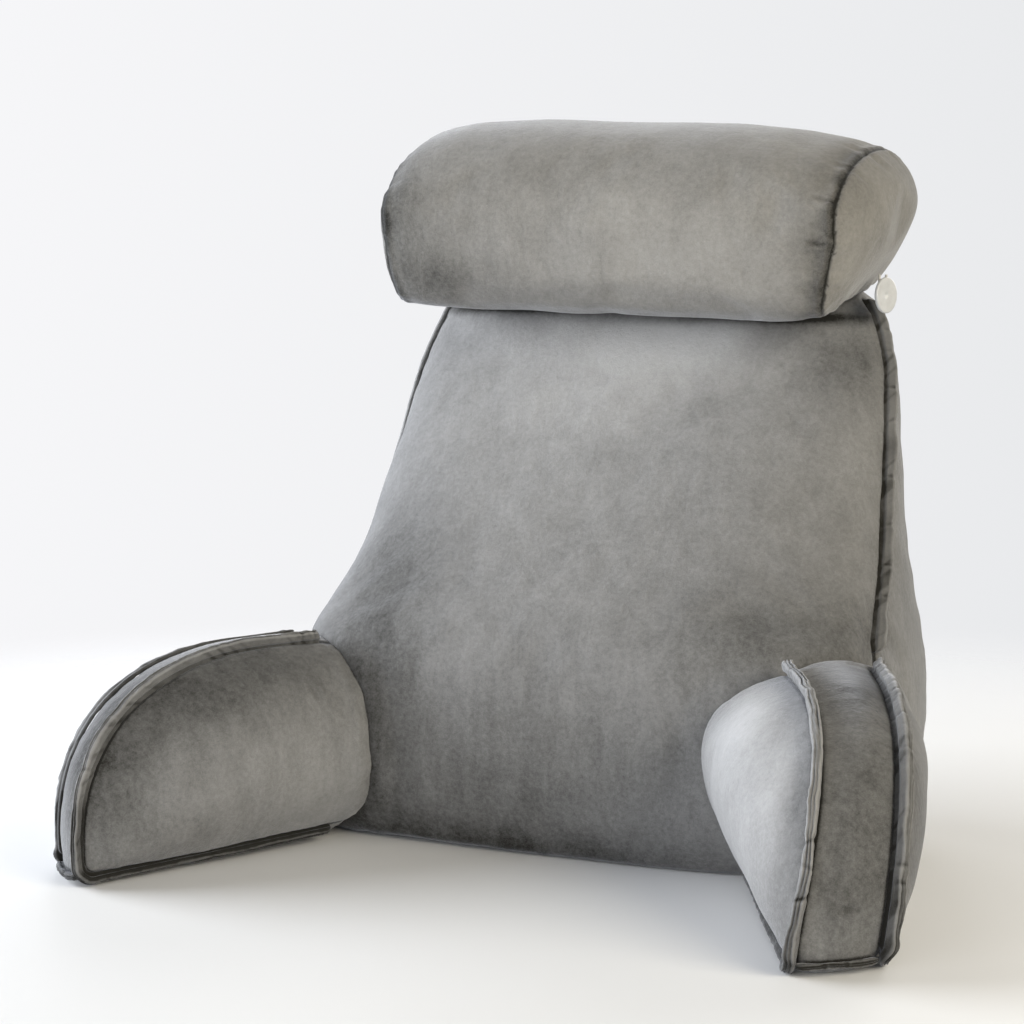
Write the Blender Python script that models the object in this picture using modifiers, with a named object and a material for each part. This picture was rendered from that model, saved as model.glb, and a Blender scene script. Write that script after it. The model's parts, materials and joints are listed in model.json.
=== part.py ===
# Reading pillow with arms: a wedge-shaped back cushion, two splayed arm pads and a neck roll.
# Sewn from plush, with the seam allowances left outside as raised flanges, and the roll held
# by an elastic loop and a button at each end.
# Tables are in millimetres and the scene is in metres. +Z is up and the sitter faces -Y.
# The origin is the middle of the back cushion's flat base.

import math
from collections import namedtuple

import bmesh
import bpy
import numpy as np

MM = 0.001
WELD = 0.01
GAP = 0.5  # growth of a cutter, which leaves at least 0.3 between faceted neighbours

# Back cushion: one row for each level. The front and side panels meet at the seam, and the
# stuffing pushes the front panel out past the seam by the bulge.
BackRow = namedtuple("BackRow", "height half_width seam_y crown bulge rear_y rear_crown swell")
BACK_ROWS = (
    BackRow(0, 218, -62, 40, 0, 70, 22, 0),
    BackRow(6, 229, -60, 50, 1, 86, 30, 4),
    BackRow(25, 243, -54, 66, 2, 104, 34, 6),
    BackRow(60, 250, -46, 82, 2, 116, 36, 8),
    BackRow(100, 252, -36, 92, 2, 127, 36, 8),
    BackRow(140, 249, -27, 98, 3, 133, 34, 8),
    BackRow(175, 242, -12, 103, 4, 138, 32, 7),
    BackRow(205, 236, 18, 104, 5, 141, 30, 7),
    BackRow(235, 230.5, 46, 100, 6, 142, 28, 6),
    BackRow(270, 226, 65, 88, 7, 142, 26, 6),
    BackRow(310, 221.5, 82.5, 73, 8, 143, 24, 5),
    BackRow(350, 217.5, 100, 58, 9, 150, 21, 4),
    BackRow(385, 213, 115, 45, 11, 159, 18, 3),
    BackRow(412, 205, 125, 35, 12, 166, 15, 3),
    BackRow(430, 197.5, 131, 28, 11, 170, 12, 2),
    BackRow(443, 190, 134, 20, 8, 171, 9, 1),
)
BACK_TOP_RINGS = ((0.95, 450), (0.80, 455), (0.52, 459), (0.25, 461))  # share of width, height
BACK_TOP_HEIGHT = 462
CROWN_BREADTH = 4.0  # a higher power keeps a panel flat across its middle
CROWN_EDGE = 0.5  # a lower power rounds a panel off harder at its seam
BULGE_PLACE = 12  # a higher power keeps the bulge closer to the seam
SIDE_DRAW = 1.0  # the rear panel is this much narrower on each side than the front one

# Arm: a pad between an inner and an outer D-shaped outline. Stations run from the root. A lean
# is how far the top of the nose leans out, a drop is how much lower the top of the outline is,
# and a taper is how much flatter a side panel is at its lower edge. The two arms are stuffed a
# little differently, so each side has a row.
ArmFit = namedtuple("ArmFit", "inner_crown taper centre_height outer_taper"
                    " outer_splay outer_lean lean_power outer_drop top_swell")
ARM_FITS = {1: ArmFit(57, 0.6, 104, 0.15, 4, 21, 1.0, 0, 10),
            -1: ArmFit(47, 0.3, 90, 0.3, 0, 26, 1.4, 4, 5)}
ARM_INNER_ROOT = (199.6, -102.0)
ARM_INNER_DIRECTION = (0.322, -0.947)
ARM_OUTER_ROOT = (259.0, -71.0)
ARM_OUTER_DIRECTION = (0.284, -0.959)
ARM_LENGTH = 240.0
ARM_INNER_EXTRA = 12.0  # how much longer the inner outline is than the outer one
ARM_HEIGHT = 163.0
ARM_BURIED = 90.0  # length of the pad that starts inside the back cushion
ARM_TOP_STRAIGHT = 56.0
ARM_NOSE_POWER = 2.15
ARM_TOE_RADIUS = 10.0
ARM_SEAM_HEIGHT = 7.0
ARM_ARCH = 6.0  # how far the lower seam lifts towards the root
ARM_INNER_LEAN = 36.0
ARM_LEAN_POWER = 1.4  # a higher power keeps the foot of the nose upright, here and in a row
ARM_ROOT_SPREAD = 33.0  # how far the inner lower edge swings in at the root
ARM_OUTER_SPREAD = 6.0
ARM_OUTER_CROWN = 33.0
ARM_BOXING_SWELL = 6.0
ARM_BELLY_SWELL = 15.0  # the underside sags onto the surface and is flat there
ARM_CENTRE = 50.0  # station of the fullest point
PANEL_RINGS = (0.25, 0.5, 0.7, 0.86, 0.96)
PANEL_BREADTH = 2.7  # as CROWN_BREADTH
PANEL_EDGE = 0.74  # as CROWN_EDGE
BOXING_STEPS = (0.0, 0.22, 0.5, 0.78, 1.0)

# Neck roll: one row for each section, left to right. Depth, top and bottom are shares of the
# full section. The end seams are at the rows -197 and 201.
RollRow = namedtuple("RollRow", "x depth top bottom")
ROLL_ROWS = (
    RollRow(-220, 0.30, 0.20, 0.30),
    RollRow(-214, 0.57, 0.34, 0.57),
    RollRow(-206, 0.80, 0.49, 0.80),
    RollRow(-197, 0.93, 0.71, 0.91),
    RollRow(-180, 0.97, 0.90, 0.94),
    RollRow(-150, 0.99, 0.97, 0.96),
    RollRow(-90, 1.0, 0.98, 0.97),
    RollRow(0, 1.0, 0.97, 0.97),
    RollRow(90, 1.0, 0.935, 0.98),
    RollRow(140, 0.99, 0.89, 0.99),
    RollRow(178, 0.97, 0.805, 0.98),
    RollRow(201, 0.93, 0.69, 0.93),
    RollRow(211, 0.82, 0.60, 0.80),
    RollRow(220, 0.60, 0.45, 0.58),
    RollRow(227, 0.30, 0.26, 0.30),
)
ROLL_TIPS_X = (-223.0, 230.0)
ROLL_CENTRE = (98.0, 514.0)
ROLL_RADII = (107.0, 81.0)
ROLL_PITCH = math.radians(12)  # the section tips up towards the rear
ROLL_TILT = math.radians(1.3)  # the roll settles lower at its right end
ROLL_POWER = 2.2
ROLL_CORNER = 2.2  # how much squarer the section is at its lower front
ROLL_CORNER_PLACE = math.radians(225)
ROLL_FLAT = 0.9  # where the underside is flattened, as a share of the lower radius
ROLL_TUCKS = (8.0, 36.0)  # how far each end panel tucks in under the roll
ROLL_SPLAY = 13.0  # how much longer the roll is along its rear

# Flanges: the raised seam allowances
FLANGE_START = 6.0  # the arms' flanges begin this far along the arm
FLANGE_HEIGHT = 10.0
FLANGE_THICKNESS = 5.5
FLANGE_ROUND = 2.0  # height over which its edge is rounded off
FLANGE_FOOT = 4.0  # depth of the strip that its cushion trims away
FLANGE_TURN = math.radians(20)  # away from the boxing
FLANGE_OUTER_TURN = math.radians(74)  # the same on the outer outline
FLANGE_FLOOR_TURN = math.radians(72)  # the same along the underside
TOE_FLANGE_LEVEL = 7.0
TOE_FLANGE_HEIGHT = 5.0
TOE_FLANGE_ENDS = (0.09, 0.91)  # from the inner outline to the outer one
BACK_FLANGE_TOP = 442.0
BACK_FLANGE_FOOT = 176.0
BACK_FLANGE_TURN = math.radians(30)  # backward of straight sideways

# Button and elastic loop
BUTTON_RADIUS = 15.0
BUTTON_THICKNESS = 3.2
BUTTON_ROUND = 1.1
BUTTON_HOLLOW = 1.0
HOLLOW_RADIUS = 9.0
SHANK_RADIUS = 3.0
SHANK_LENGTH = 20.0  # the cushion trims it
BUTTON_PLACES = {1: (214.0, 108.0, 446.0), -1: (-209.0, 114.0, 451.0)}
BUTTON_TURN = math.radians(72)  # from facing the sitter to facing sideways
LOOP_RADIUS = 1.1
LOOP_WAIST = 5.0  # half the width of the loop round the shank
LOOP_RISE = 24.0

PLUSH_GREY = (0.21, 0.205, 0.19, 1.0)
BUTTON_WHITE = (0.80, 0.80, 0.78, 1.0)
ELASTIC_WHITE = (0.70, 0.69, 0.66, 1.0)
SIDES = (("right", 1), ("left", -1))


def clear_scene():
    for thing in list(bpy.data.objects):
        bpy.data.objects.remove(thing, do_unlink=True)


def new_collection(name):
    collection = bpy.data.collections.new(name)
    bpy.context.scene.collection.children.link(collection)
    return collection


def new_material(name, colour, roughness):
    material = bpy.data.materials.new(name)
    material.use_nodes = True
    shader = material.node_tree.nodes["Principled BSDF"]
    shader.inputs["Base Color"].default_value = colour
    shader.inputs["Roughness"].default_value = roughness
    shader.inputs["Metallic"].default_value = 0.0
    return material


def mesh_object(name, points, faces, material, collection):
    """A closed mesh object from points in millimetres, with its faces turned outwards."""
    mesh = bpy.data.meshes.new(name)
    mesh.from_pydata((np.asarray(points) * MM).tolist(), [], faces)
    body = bmesh.new()
    body.from_mesh(mesh)
    bmesh.ops.triangulate(body, faces=body.faces)
    bmesh.ops.recalc_face_normals(body, faces=body.faces)
    body.to_mesh(mesh)
    body.free()
    mesh.shade_smooth()
    mesh.materials.append(material)
    thing = bpy.data.objects.new(name, mesh)
    collection.objects.link(thing)
    return thing


def loft(name, rings, first_pole, last_pole, material, collection):
    """Skin a list of rings, all with the same number of points, and close each end on a pole."""
    count = len(rings[0])
    points = np.vstack([first_pole, *rings, last_pole])
    last = len(points) - 1
    edges = [(a, (a + 1) % count) for a in range(count)]
    faces = [(0, 1 + b, 1 + a) for a, b in edges]
    for ring in range(len(rings) - 1):
        low = 1 + ring * count
        high = low + count
        faces += [(low + a, low + b, high + b, high + a) for a, b in edges]
    top = last - count
    faces += [(top + a, top + b, last) for a, b in edges]
    return mesh_object(name, points, faces, material, collection)


def grown_cutter(thing, cutters):
    """A copy of a cushion, one gap larger all round, that trims what touches the cushion."""
    cutter = bpy.data.objects.new(thing.name + "_cutter", thing.data)
    cutter.hide_render = True
    cutter.display_type = "WIRE"
    cutters.objects.link(cutter)
    growth = cutter.modifiers.new("growth", "DISPLACE")
    growth.mid_level = 0
    growth.strength = GAP * MM
    return cutter


def trim(thing, cutter):
    cut = thing.modifiers.new("trim_" + cutter.name, "BOOLEAN")
    cut.operation = "DIFFERENCE"
    cut.object = cutter


def power(value, exponent):
    return np.sign(value) * np.abs(value) ** exponent


def crown(share):
    """Height of a stuffed panel, 1 in the middle and 0 at its seams."""
    return (1 - np.minimum(np.abs(share), 1) ** CROWN_BREADTH) ** CROWN_EDGE


def back_ring(row, share, centre_y):
    """One level of the back cushion: front panel, side, rear panel and the other side. The top
    is made of rings drawn in towards its middle by a share."""
    across = np.sin(np.linspace(-math.pi / 2, math.pi / 2, 19))
    pushed = np.sign(across) * row.bulge * np.sin(math.pi * np.abs(across) ** BULGE_PLACE)
    front_x = across * row.half_width + pushed
    front_y = row.seam_y - row.crown * crown(across)
    along = np.linspace(0, 1, 6)[1:-1]
    swell = row.swell * np.sin(math.pi * along)
    side_x = row.half_width + swell - SIDE_DRAW * along**2
    side_y = row.seam_y + (row.rear_y - row.seam_y) * along
    back = np.sin(np.linspace(math.pi / 2, -math.pi / 2, 13))
    rear_x = back * (row.half_width - SIDE_DRAW)
    rear_y = row.rear_y + row.rear_crown * crown(back)
    x = np.concatenate([front_x, side_x, rear_x, -side_x[::-1]]) * share
    y = np.concatenate([front_y, side_y, rear_y, side_y[::-1]])
    y = centre_y + (y - centre_y) * share
    return np.column_stack([x, y, np.full(len(x), float(row.height))])


def make_back(material, collection):
    top = BACK_ROWS[-1]
    centre_y = (top.seam_y - top.crown + top.rear_y + top.rear_crown) / 2
    rings = [back_ring(row, 1, centre_y) for row in BACK_ROWS]
    rings += [back_ring(top._replace(height=height), share, centre_y)
              for share, height in BACK_TOP_RINGS]
    poles = (0, 0, 0), (0, centre_y, BACK_TOP_HEIGHT)
    return loft("back_cushion", rings, *poles, material, collection)


def arm_outline():
    """Stations and heights round the D: top, nose, toe, underside and the buried root edge."""
    start = [-ARM_BURIED, -ARM_BURIED / 2, 0]
    top = np.concatenate([start, np.linspace(FLANGE_START, ARM_TOP_STRAIGHT, 4)])
    reach = ARM_LENGTH - ARM_TOP_STRAIGHT
    toe_top = ARM_SEAM_HEIGHT + ARM_TOE_RADIUS
    angle = np.linspace(math.pi / 2, 0, 14)[1:]
    nose_s = ARM_TOP_STRAIGHT + reach * power(np.cos(angle), 2 / ARM_NOSE_POWER)
    nose_z = toe_top + (ARM_HEIGHT - toe_top) * power(np.sin(angle), 2 / ARM_NOSE_POWER)
    turn = np.linspace(0, -math.pi / 2, 5)[1:]
    toe_s = ARM_LENGTH - ARM_TOE_RADIUS + ARM_TOE_RADIUS * np.cos(turn)
    toe_z = toe_top + ARM_TOE_RADIUS * np.sin(turn)
    under_s = np.linspace(ARM_LENGTH - ARM_TOE_RADIUS, -ARM_BURIED, 10)[1:]
    under_z = ARM_SEAM_HEIGHT + ARM_ARCH * np.clip(1 - under_s / ARM_LENGTH, 0, 1)
    root_z = np.linspace(under_z[-1], ARM_HEIGHT, 6)[1:-1]
    s = np.concatenate([top, nose_s, toe_s, under_s, np.full(len(root_z), -ARM_BURIED)])
    z = np.concatenate([np.full(len(top), ARM_HEIGHT), nose_z, toe_z, under_z, root_z])
    return s, z


def outline_normals(s, z):
    """Unit vectors that point out of the D, in its own plane."""
    ds = np.roll(s, -1) - np.roll(s, 1)
    dz = np.roll(z, -1) - np.roll(z, 1)
    length = np.hypot(ds, dz)
    return -dz / length, ds / length


def arm_points(s, z, across, proud, side):
    """Places in space for stations s and heights z. across runs from the inner outline, 0, to
    the outer, 1, and proud is how far a point stands out past the outer outline's plane."""
    fit = ARM_FITS[side]
    across = np.broadcast_to(across, s.shape)
    reach = np.clip(s / ARM_LENGTH, 0, 1)
    level = np.maximum(z, 0) / ARM_HEIGHT
    s = s + ARM_INNER_EXTRA * reach * (1 - across)
    z = z - fit.outer_drop * across * level
    inner = np.array(ARM_INNER_ROOT) + np.outer(s, ARM_INNER_DIRECTION)
    outer = np.array(ARM_OUTER_ROOT) + np.outer(s, ARM_OUTER_DIRECTION)
    flat = inner + (outer - inner) * across[:, None]
    inner_lean = ARM_INNER_LEAN * level**ARM_LEAN_POWER
    outer_lean = fit.outer_lean * level**fit.lean_power + fit.outer_splay
    lean = (inner_lean + (outer_lean - inner_lean) * across) * reach
    spread = ARM_OUTER_SPREAD * across - ARM_ROOT_SPREAD * (1 - across)
    shift = lean + spread * (1 - level) * (1 - reach) + proud
    outward = np.array([-ARM_INNER_DIRECTION[1], ARM_INNER_DIRECTION[0]])
    flat = flat + np.outer(shift, outward)
    return np.column_stack([flat[:, 0] * side, flat[:, 1], np.maximum(z, 0)])


def panel_swell(share):
    """Height of an arm's side panel, 1 at its fullest point and 0 at its seam."""
    return (1 - share**PANEL_BREADTH) ** PANEL_EDGE


def boxing_swell(out_z, side):
    """How far the boxing swells out halfway across: least in front, more on top and below."""
    over = (ARM_FITS[side].top_swell - ARM_BOXING_SWELL) * np.maximum(out_z, 0) ** 4
    under = (ARM_BELLY_SWELL - ARM_BOXING_SWELL) * np.maximum(-out_z, 0) ** 2
    return ARM_BOXING_SWELL + over + under


def make_arm(name, side, material, collection):
    s, z = arm_outline()
    out_s, out_z = outline_normals(s, z)
    fit = ARM_FITS[side]
    centre_s, centre_z = ARM_CENTRE, fit.centre_height

    def panel_ring(share, across, fullness, taper):
        ring_s = centre_s + (s - centre_s) * share
        ring_z = centre_z + (z - centre_z) * share
        swell = (1 - taper * np.maximum(1 - ring_z / centre_z, 0)) * panel_swell(share)
        return arm_points(ring_s, ring_z, across, fullness * swell, side)

    inner, outer = (0, -fit.inner_crown, fit.taper), (1, ARM_OUTER_CROWN, fit.outer_taper)
    rings = [panel_ring(share, *inner) for share in PANEL_RINGS]
    fullest = boxing_swell(out_z, side)
    for step in BOXING_STEPS:
        swell = fullest * math.sin(math.pi * step)
        rings.append(arm_points(s + out_s * swell, z + out_z * swell, step, 0, side))
    rings += [panel_ring(share, *outer) for share in reversed(PANEL_RINGS)]
    middle = np.array([centre_s]), np.array([centre_z])
    poles = [arm_points(*middle, across, fullness, side)
             for across, fullness, _ in (inner, outer)]
    return loft(name, rings, *poles, material, collection)


def roll_ring(row):
    """One section of the neck roll: a rounded oval, squarer at its lower front, with a flattened
    underside."""
    angle = np.linspace(0, 2 * math.pi, 32, endpoint=False)
    corner = np.maximum(np.cos(angle - ROLL_CORNER_PLACE), 0) ** 2
    exponent = 2 / (ROLL_POWER + ROLL_CORNER * corner)
    y = ROLL_RADII[0] * row.depth * power(np.cos(angle), exponent)
    rise = power(np.sin(angle), exponent)
    z = ROLL_RADII[1] * np.where(rise > 0, row.top * rise, row.bottom * np.maximum(rise, -ROLL_FLAT))
    turned_y = y * math.cos(ROLL_PITCH) - z * math.sin(ROLL_PITCH)
    turned_z = y * math.sin(ROLL_PITCH) + z * math.cos(ROLL_PITCH)
    end = np.sign(row.x) * (abs(row.x) / ROLL_TIPS_X[1]) ** 4
    tuck = ROLL_TUCKS[row.x > 0] * np.maximum(-z / ROLL_RADII[1], 0)
    splay = ROLL_SPLAY * (1 + y / ROLL_RADII[0]) / 2
    x = row.x + end * (splay - tuck)
    height = ROLL_CENTRE[1] + turned_z - row.x * math.tan(ROLL_TILT)
    return np.column_stack([x, ROLL_CENTRE[0] + turned_y, height])


def make_roll(material, collection):
    rings = [roll_ring(row) for row in ROLL_ROWS]
    poles = [(x, ROLL_CENTRE[0], ROLL_CENTRE[1] - x * math.tan(ROLL_TILT)) for x in ROLL_TIPS_X]
    return loft("neck_roll", rings, *poles, material, collection)


def flange(name, path, outward, height, material, collection):
    """A strip that stands on a seam. path holds the seam's points, and outward the unit vectors
    along which the strip rises from it."""
    path, outward = np.asarray(path), np.asarray(outward)
    along = np.gradient(path, axis=0)
    sideways = np.cross(along, outward)
    sideways /= np.linalg.norm(sideways, axis=1)[:, None]
    half = FLANGE_THICKNESS / 2
    edge = height - FLANGE_ROUND
    section = ((-half, -FLANGE_FOOT), (-half, edge), (-half / 2, height),
               (half / 2, height), (half, edge), (half, -FLANGE_FOOT))
    columns = [path + sideways * across + outward * rise for across, rise in section]
    rings = list(np.stack(columns, axis=1))
    middle = [ring.mean(axis=0) for ring in (rings[0], rings[-1])]
    return loft(name, rings, *middle, material, collection)


def arm_flange(name, side, across, stations, material, collection):
    """The flange along one of an arm's two outlines."""
    s, z = arm_outline()
    out_s, out_z = outline_normals(s, z)
    s, z, out_s, out_z = (values[stations] for values in (s, z, out_s, out_z))
    floor = np.maximum(-out_z, 0)
    upper_turn, away = (FLANGE_TURN, -1) if across == 0 else (FLANGE_OUTER_TURN, 1)
    turn = upper_turn + (FLANGE_FLOOR_TURN - upper_turn) * floor
    seam = arm_points(s, z, across, 0, side)
    raised = arm_points(s + out_s * np.cos(turn), z + out_z * np.cos(turn), across,
                        away * np.sin(turn), side)
    outward = raised - seam
    outward /= np.linalg.norm(outward, axis=1)[:, None]
    return flange(name, seam, outward, FLANGE_HEIGHT, material, collection)


def toe_flange(name, side, material, collection):
    """The low flange across the foot of an arm's nose, where the boxing meets the underside."""
    across = np.linspace(*TOE_FLANGE_ENDS, 9)
    level = np.full(len(across), TOE_FLANGE_LEVEL)
    reach = ARM_LENGTH + ARM_BOXING_SWELL * np.sin(math.pi * across)
    seam = arm_points(reach, level, across, 0, side)
    outward = arm_points(reach + 1, level, across, 0, side) - seam
    outward /= np.linalg.norm(outward, axis=1)[:, None]
    return flange(name, seam, outward, TOE_FLANGE_HEIGHT, material, collection)


def back_flange(name, side, material, collection):
    """The flange down the side seam of the back cushion, from the button to the arm's top."""
    heights = [row.height for row in BACK_ROWS]
    z = np.linspace(BACK_FLANGE_TOP, BACK_FLANGE_FOOT, 16)
    x = np.interp(z, heights, [row.half_width for row in BACK_ROWS])
    y = np.interp(z, heights, [row.seam_y for row in BACK_ROWS])
    outward = (math.cos(BACK_FLANGE_TURN) * side, math.sin(BACK_FLANGE_TURN), 0)
    path = np.column_stack([x * side, y, z])
    outward = np.tile(outward, (len(z), 1))
    return flange(name, path, outward, FLANGE_HEIGHT, material, collection)


def turn_to_button(thing, side):
    thing.location = [value * MM for value in BUTTON_PLACES[side]]
    thing.rotation_euler = (math.pi / 2, 0, BUTTON_TURN * side)


def make_button(name, side, material, collection):
    """A dished disc on a shank, turned about its own axis, which is its local Z."""
    face = BUTTON_THICKNESS / 2
    rim = face - BUTTON_ROUND
    shoulder = BUTTON_RADIUS - BUTTON_ROUND
    profile = ((0, face - BUTTON_HOLLOW), (HOLLOW_RADIUS / 2, face - BUTTON_HOLLOW),
               (HOLLOW_RADIUS, face), (shoulder, face), (BUTTON_RADIUS, rim),
               (BUTTON_RADIUS, -rim), (shoulder, -face), (SHANK_RADIUS, -face),
               (SHANK_RADIUS, -face - SHANK_LENGTH), (0, -face - SHANK_LENGTH))
    mesh = bpy.data.meshes.new(name)
    points = [(x * MM, 0, z * MM) for x, z in profile]
    mesh.from_pydata(points, [(i, i + 1) for i in range(len(points) - 1)], [])
    mesh.materials.append(material)
    button = bpy.data.objects.new(name, mesh)
    collection.objects.link(button)
    screw = button.modifiers.new("turn", "SCREW")
    screw.axis = "Z"
    screw.steps = screw.render_steps = 24
    screw.use_merge_vertices = True
    screw.merge_threshold = 0.0001
    turn_to_button(button, side)
    return button


def make_loop(name, side, material, collection):
    """Round elastic that hangs from the roll's end and passes under the button's shank."""
    angle = np.linspace(0, math.pi, 9)
    bottom = [(LOOP_WAIST * math.cos(a), -LOOP_WAIST * math.sin(a)) for a in angle]
    points = [(LOOP_WAIST, LOOP_RISE), *bottom, (-LOOP_WAIST, LOOP_RISE)]
    curve = bpy.data.curves.new(name, "CURVE")
    curve.dimensions = "3D"
    curve.bevel_depth = LOOP_RADIUS * MM
    curve.bevel_resolution = 1
    curve.use_fill_caps = True
    spline = curve.splines.new("POLY")
    spline.points.add(len(points) - 1)
    behind = BUTTON_THICKNESS / 2 + LOOP_RADIUS + GAP
    for point, (x, y) in zip(spline.points, points):
        point.co = (x * MM, y * MM, -behind * MM, 1)
    guide = bpy.data.objects.new(name + "_guide", curve)
    collection.objects.link(guide)
    turn_to_button(guide, side)
    bpy.context.view_layer.update()
    graph = bpy.context.evaluated_depsgraph_get()
    mesh = bpy.data.meshes.new_from_object(guide.evaluated_get(graph))
    body = bmesh.new()
    body.from_mesh(mesh)
    bmesh.ops.remove_doubles(body, verts=body.verts, dist=WELD * MM)
    bmesh.ops.recalc_face_normals(body, faces=body.faces)
    body.to_mesh(mesh)
    body.free()
    mesh.materials.clear()
    mesh.materials.append(material)
    loop = bpy.data.objects.new(name, mesh)
    loop.matrix_world = guide.matrix_world
    collection.objects.link(loop)
    bpy.data.objects.remove(guide, do_unlink=True)
    return loop


def main():
    clear_scene()
    part = new_collection("reading_pillow")
    cutters = new_collection("cutters")
    plush = new_material("grey_plush", PLUSH_GREY, 0.9)
    button_white = new_material("button_white", BUTTON_WHITE, 0.35)
    elastic = new_material("elastic", ELASTIC_WHITE, 0.8)

    back = make_back(plush, part)
    roll = make_roll(plush, part)
    back_cutter = grown_cutter(back, cutters)
    roll_cutter = grown_cutter(roll, cutters)
    trim(roll, back_cutter)

    count = len(arm_outline()[0])
    strips = ("inner", 0, np.arange(3, count - 6)), ("outer", 1, np.arange(1, count - 5))
    for word, side in SIDES:
        arm = make_arm(f"arm_{word}", side, plush, part)
        arm_cutter = grown_cutter(arm, cutters)
        trim(arm, back_cutter)
        for panel, across, stations in strips:
            strip = arm_flange(f"arm_{panel}_flange_{word}", side, across, stations, plush, part)
            trim(strip, arm_cutter)
            trim(strip, back_cutter)
        strip = toe_flange(f"arm_toe_flange_{word}", side, plush, part)
        trim(strip, arm_cutter)
        strip = back_flange(f"back_flange_{word}", side, plush, part)
        trim(strip, back_cutter)
        trim(strip, roll_cutter)
        button = make_button(f"button_{word}", side, button_white, part)
        trim(button, back_cutter)
        trim(button, roll_cutter)
        loop = make_loop(f"button_loop_{word}", side, elastic, part)
        trim(loop, roll_cutter)


main()
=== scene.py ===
import json
import math
from collections import namedtuple

import bpy
import numpy as np
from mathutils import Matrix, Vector

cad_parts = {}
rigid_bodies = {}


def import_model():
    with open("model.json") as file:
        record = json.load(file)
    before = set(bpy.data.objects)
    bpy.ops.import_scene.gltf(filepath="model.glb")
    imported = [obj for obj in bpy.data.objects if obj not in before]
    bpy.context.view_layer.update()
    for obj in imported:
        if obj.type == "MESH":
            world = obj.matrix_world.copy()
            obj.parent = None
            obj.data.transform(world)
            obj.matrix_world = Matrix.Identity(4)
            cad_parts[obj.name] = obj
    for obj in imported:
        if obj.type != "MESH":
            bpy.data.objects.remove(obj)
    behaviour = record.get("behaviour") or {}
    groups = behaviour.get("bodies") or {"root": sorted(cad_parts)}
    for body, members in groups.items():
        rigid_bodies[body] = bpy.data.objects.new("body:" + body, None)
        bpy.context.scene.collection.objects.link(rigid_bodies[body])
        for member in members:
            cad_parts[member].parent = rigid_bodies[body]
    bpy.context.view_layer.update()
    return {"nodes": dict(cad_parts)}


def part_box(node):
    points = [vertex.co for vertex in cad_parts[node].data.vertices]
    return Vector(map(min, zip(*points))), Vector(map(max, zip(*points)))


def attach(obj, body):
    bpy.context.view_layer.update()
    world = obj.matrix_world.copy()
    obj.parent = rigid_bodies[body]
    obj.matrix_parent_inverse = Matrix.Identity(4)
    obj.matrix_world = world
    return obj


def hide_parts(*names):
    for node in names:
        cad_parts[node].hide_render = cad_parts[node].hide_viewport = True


# Reading pillow with arms, sewn from short-pile plush with its seam allowances left outside.
# Everything is in metres in the solids' own frame: +Z up, the sitter faces -Y. Tables of sizes
# are in millimetres, and mm turns them into metres where they are used.

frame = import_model()
nodes = frame["nodes"]
mm = 0.001
sides = {"right": 1, "left": -1}
print("frame loaded:", len(nodes), "nodes")


# numbers and noise

latticeSize = 24  # random numbers along each side of the lattice, which then repeats
lineSize = 4096  # random numbers along a line, the same
blockSize = 4000  # points compared at a time


def smooth(share):
    # 3t^2 - 2t^3, with t held between 0 and 1
    share = np.clip(share, 0, 1)
    return share * share * (3 - 2 * share)


def bell(distance, width):
    # exp(-(d / width)^2)
    return np.exp(-(distance / width) ** 2)


def softNoise(points, size, seed):
    # Random numbers on a cubic lattice of this size, blended between the eight corners of each
    # cell with smooth steps. Runs from about -1 to 1.
    lattice = np.random.default_rng(seed).uniform(-1, 1, (latticeSize,) * 3)
    place = points / size + 500
    cell = np.floor(place).astype(int)
    part = smooth(place - cell)
    total = np.zeros(len(points))
    for corner in np.ndindex(2, 2, 2):
        share = np.where(corner, part, 1 - part).prod(axis=1)
        total += share * lattice[tuple(((cell + corner) % latticeSize).T)]
    return total


def softWave(along, size, seed):
    # The same along a line: random numbers one size apart, joined by smooth steps
    knots = np.random.default_rng(seed).uniform(-1, 1, lineSize)
    place = np.asarray(along) / size + 1000
    cell = np.floor(place).astype(int)
    part = smooth(place - cell)
    return knots[cell % lineSize] * (1 - part) + knots[(cell + 1) % lineSize] * part


def nearestOn(points, samples):
    # The distance from each point to the nearest sample, and that sample's number. Worked out
    # from |a|^2 - 2ab + |b|^2 for a block of points at a time.
    samples = np.asarray(samples)
    ownSquares = (samples**2).sum(axis=1)
    distance = np.empty(len(points))
    number = np.empty(len(points), int)
    for start in range(0, len(points), blockSize):
        rows = slice(start, start + blockSize)
        block = points[rows]
        squares = (block**2).sum(axis=1)[:, None] - 2 * block @ samples.T + ownSquares
        number[rows] = squares.argmin(axis=1)
        distance[rows] = squares[np.arange(len(block)), number[rows]]
    return np.sqrt(np.maximum(distance, 0)), number


def lengthAlong(path):
    # Running length of a path from its first point
    steps = np.linalg.norm(np.diff(path, axis=0), axis=1)
    return np.concatenate([[0], np.cumsum(steps)])


def evenPath(path, spacing):
    # The same path, with its points this far apart
    run = lengthAlong(path)
    at = np.linspace(0, run[-1], max(int(run[-1] / spacing), 2))
    return np.column_stack([np.interp(at, run, path[:, axis]) for axis in range(3)])


def unit(vectors):
    # Each vector divided by its length
    return vectors / np.linalg.norm(vectors, axis=-1, keepdims=True)


# meshes

def readPoints(mesh):
    points = np.empty(len(mesh.vertices) * 3)
    mesh.vertices.foreach_get("co", points)
    return points.reshape(-1, 3)


def writePoints(mesh, points):
    mesh.vertices.foreach_set("co", np.asarray(points).ravel())
    mesh.update()


def readNormals(mesh):
    normals = np.empty(len(mesh.vertices) * 3)
    mesh.vertex_normals.foreach_get("vector", normals)
    return normals.reshape(-1, 3)


def addValues(mesh, name, values):
    mesh.attributes.new(name, "FLOAT", "POINT").data.foreach_set("value", np.asarray(values))


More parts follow.
